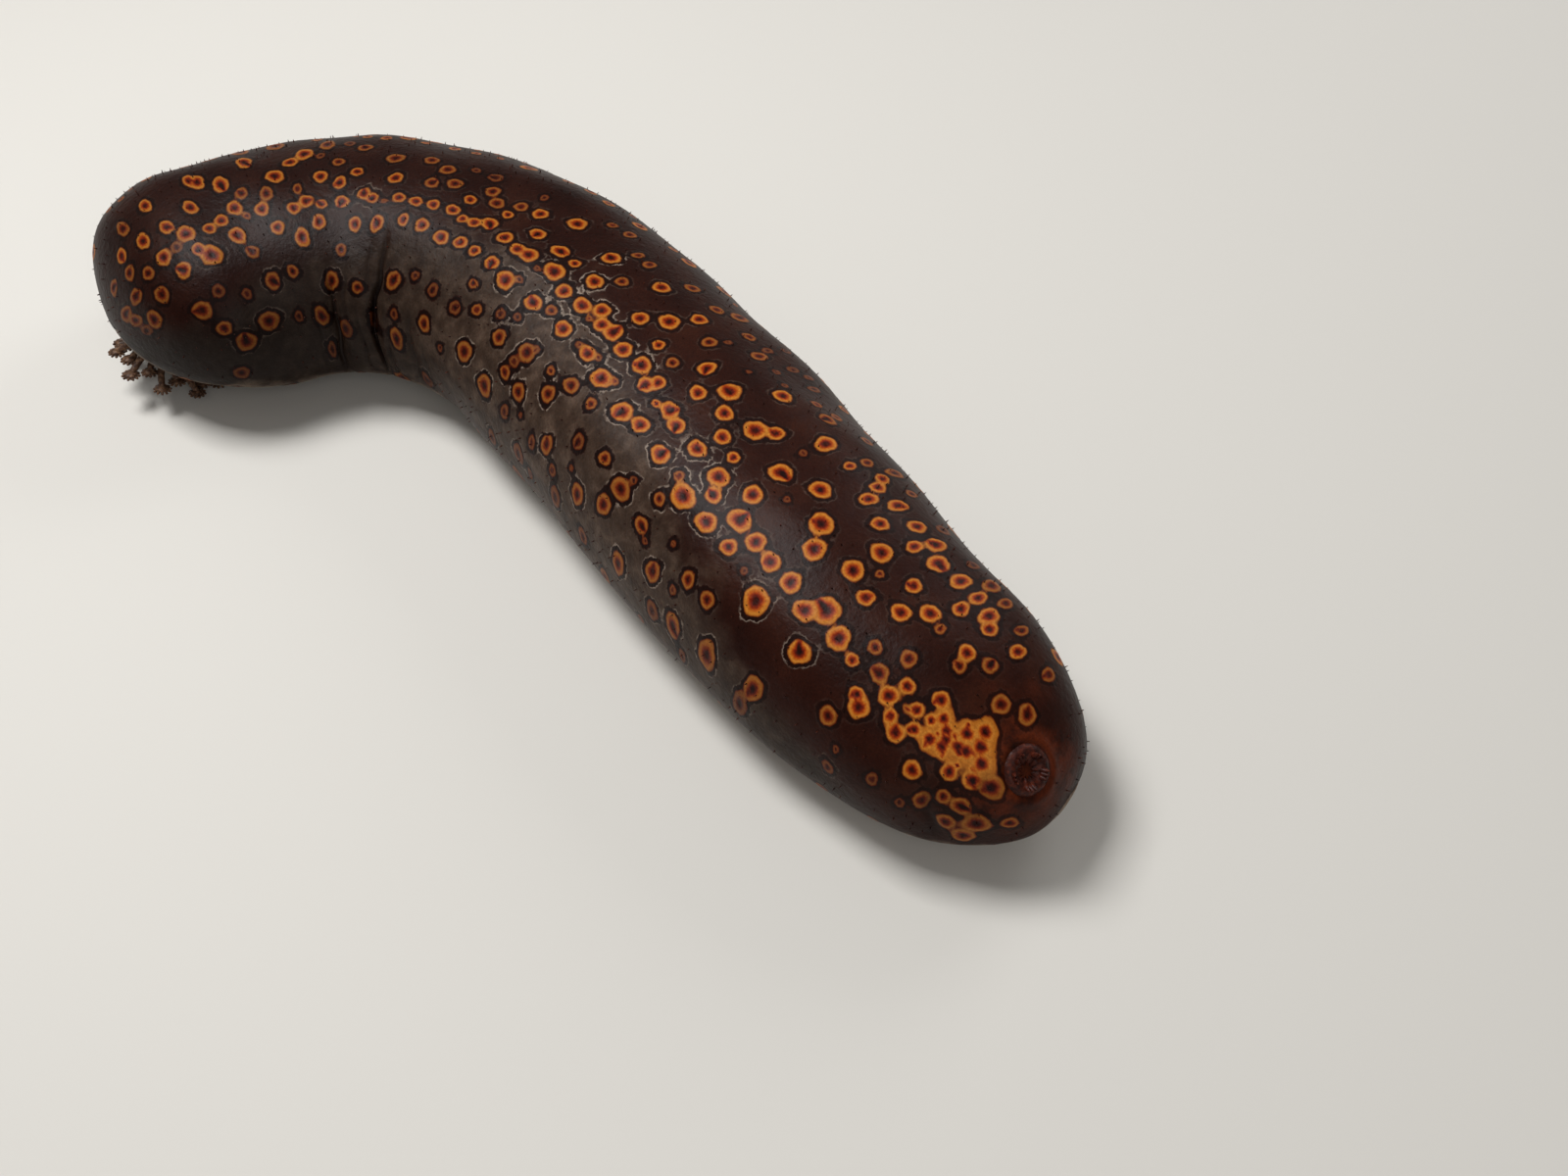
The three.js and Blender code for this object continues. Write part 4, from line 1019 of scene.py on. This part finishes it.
def scatterTree(name, standing):
    # points on the skin where a stored share allows, each with a small cone or a foot
    tree = bpy.data.node_groups.new(name, "GeometryNodeTree")
    sockets = {}
    for label, kind in (("Skin", "Geometry"), ("Spacing", "Float"), ("Radius", "Float"), ("Length", "Float"),
                        ("Sides", "Int"), ("Seed", "Int"), ("Finish", "Material")):
        socket = tree.interface.new_socket(label, in_out="INPUT", socket_type="NodeSocket" + kind)
        sockets[label] = socket.identifier
    tree.interface.new_socket("Result", in_out="OUTPUT", socket_type="NodeSocketGeometry")
    given = addNode(tree, "NodeGroupInput").outputs
    share = addNode(tree, "GeometryNodeInputNamedAttribute", {"data_type": "FLOAT"}, {
        "Name": name + "Share"}).outputs[0]
    scattered = addNode(tree, "GeometryNodeDistributePointsOnFaces", {"distribute_method": "POISSON"}, {
        "Mesh": given["Skin"], "Distance Min": given["Spacing"], "Density Max": 4e5,
        "Density Factor": share, "Seed": given["Seed"]}).outputs
    draw = addNode(tree, "FunctionNodeRandomValue", {"data_type": "FLOAT"}, {
        2: 0.65, 3: 1.25, "Seed": given["Seed"]}).outputs[1]
    topShare = 0.85 if standing else 0.25
    narrow = addNode(tree, maths, times, {0: given["Radius"], 1: topShare}).outputs[0]
    cone = addNode(tree, "GeometryNodeMeshCone", {"fill_type": "NGON"}, {
        "Vertices": given["Sides"], "Side Segments": 2, "Radius Top": narrow,
        "Radius Bottom": given["Radius"], "Depth": given["Length"]}).outputs["Mesh"]
    if standing:
        # a foot stands upright from the floor to the sole, on a wider sucker
        wide = addNode(tree, maths, times, {0: given["Radius"], 1: 1.35}).outputs[0]
        thick = addNode(tree, maths, times, {0: given["Length"], 1: 0.22}).outputs[0]
        cup = addNode(tree, "GeometryNodeMeshCone", {"fill_type": "NGON"}, {
            "Vertices": given["Sides"], "Radius Top": given["Radius"], "Radius Bottom": wide,
            "Depth": thick}).outputs["Mesh"]
        stalk = addNode(tree, "GeometryNodeTransform", {}, {
            "Geometry": cone, "Scale": (1, 1, 1.3)}).outputs[0]
        both = addNode(tree, "GeometryNodeJoinGeometry")
        tree.links.new(stalk, both.inputs[0])
        tree.links.new(cup, both.inputs[0])
        place = addNode(tree, "GeometryNodeInputPosition").outputs[0]
        height = addNode(tree, "ShaderNodeSeparateXYZ", {}, {"Vector": place}).outputs["Z"]
        tall = addNode(tree, maths, times, {0: height, 1: 1 / metre}).outputs[0]
        scale = addNode(tree, "ShaderNodeCombineXYZ", {}, {"X": draw, "Y": draw, "Z": tall}).outputs[0]
        sunk = addNode(tree, "GeometryNodeTransform", {}, {
            "Geometry": both.outputs[0], "Translation": (0, 0, -metre)}).outputs[0]
        made = addNode(tree, "GeometryNodeInstanceOnPoints", {}, {
            "Points": scattered["Points"], "Instance": sunk, "Scale": scale}).outputs[0]
    else:
        # a papilla stands out from the skin, with its root a little under it
        sunk = addNode(tree, "GeometryNodeTransform", {}, {
            "Geometry": cone, "Translation": (0, 0, -0.2 * metre)}).outputs[0]
        made = addNode(tree, "GeometryNodeInstanceOnPoints", {}, {
            "Points": scattered["Points"], "Instance": sunk, "Rotation": scattered["Rotation"],
            "Scale": draw}).outputs[0]
    real = addNode(tree, "GeometryNodeRealizeInstances", {}, {"Geometry": made}).outputs[0]
    done = addNode(tree, "GeometryNodeSetMaterial", {}, {
        "Geometry": real, "Material": given["Finish"]}).outputs[0]
    addNode(tree, "NodeGroupOutput", {}, {"Result": done})
    return tree, sockets


def scatterPiece(pieceName, treeName, sizes, source, material, standing):
    tree, sockets = scatterTree(treeName, standing)
    carrier = bpy.data.objects.new(pieceName + "Carrier", source.data.copy())
    bpy.context.scene.collection.objects.link(carrier)
    modifier = carrier.modifiers.new("scatter", "NODES")
    modifier.node_group = tree
    values = {
        "Spacing": sizes["spacing"] * metre, "Radius": sizes["radius"] * metre,
        "Length": sizes["length"] * metre, "Sides": sizes["sides"], "Seed": sizes["seed"],
        "Finish": material,
    }
    for label, value in values.items():
        modifier[sockets[label]] = value
    evaluated = carrier.evaluated_get(bpy.context.evaluated_depsgraph_get())
    mesh = bpy.data.meshes.new_from_object(evaluated)
    bpy.data.objects.remove(carrier)
    mesh.name = pieceName
    made = bpy.data.objects.new(pieceName, mesh)
    bpy.context.scene.collection.objects.link(made)
    made.data.shade_smooth()
    print(pieceName + ":", len(mesh.polygons), "faces")
    return made


tentacleFlesh = fleshMaterial("tentacleFlesh")
ventFlesh = fleshMaterial("ventFlesh")
papillaFlesh = fleshMaterial("papillaFlesh")
footFlesh = fleshMaterial("tubeFootFlesh")

mouthPiece = makeMouth(tentacleFlesh)
ventPiece = makeVent(ventFlesh)
print("mouth, tentacles and vent made")
papillaPiece = scatterPiece("papillae", "papilla", papilla, skinPiece, papillaFlesh, False)
footPiece = scatterPiece("tubeFeet", "foot", tubeFoot, skinPiece, footFlesh, True)
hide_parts("mouth")
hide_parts("anus")
for piece in (mouthPiece, ventPiece, papillaPiece, footPiece):
    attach(piece, "root")


# The floor is a plain pale board under soft lamps.
stage = {"half": 3.0, "floorColour": "#cbc8c2"}
half = stage["half"]
floorMesh = bpy.data.meshes.new("floor")
floorCorners = [(-half, -half, 0), (half, -half, 0), (half, half, 0), (-half, half, 0)]
floorMesh.from_pydata(floorCorners, [], [(0, 1, 2, 3)])
floor = bpy.data.objects.new("floor", floorMesh)
bpy.context.scene.collection.objects.link(floor)
board, _, boardShader, _ = newMaterial("matBoard")  # matt painted board, so no glare
boardShader.inputs["Base Color"].default_value = linearColour(stage["floorColour"])
boardShader.inputs["Roughness"].default_value = 0.8
floorMesh.materials.append(board)

lamps = (  # name, place, aim, size, watts
    ("key", (0.42, 0.1, 1.0), (0, 0, 0.03), 0.4, 12.0),
    ("fill", (-0.9, 0.7, 0.8), (0, 0, 0.03), 0.9, 3.4),
    ("rimLight", (-0.1, -0.9, 0.6), (0, 0, 0.03), 0.5, 2.4),
)
for name, place, aim, size, watts in lamps:
    data = bpy.data.lights.new(name, "AREA")
    data.size = size
    data.energy = watts
    lamp = bpy.data.objects.new(name, data)
    lamp.location = place
    lamp.rotation_euler = (Vector(aim) - Vector(place)).to_track_quat("-Z", "Y").to_euler()
    bpy.context.scene.collection.objects.link(lamp)
world = bpy.data.worlds.new("room")
world.use_nodes = True
world.node_tree.nodes["Background"].inputs["Color"].default_value = linearColour("#e8e6e2")
world.node_tree.nodes["Background"].inputs["Strength"].default_value = 0.24
bpy.context.scene.world = world
bpy.context.scene.view_settings.view_transform = "Standard"
print("stage and lights set")
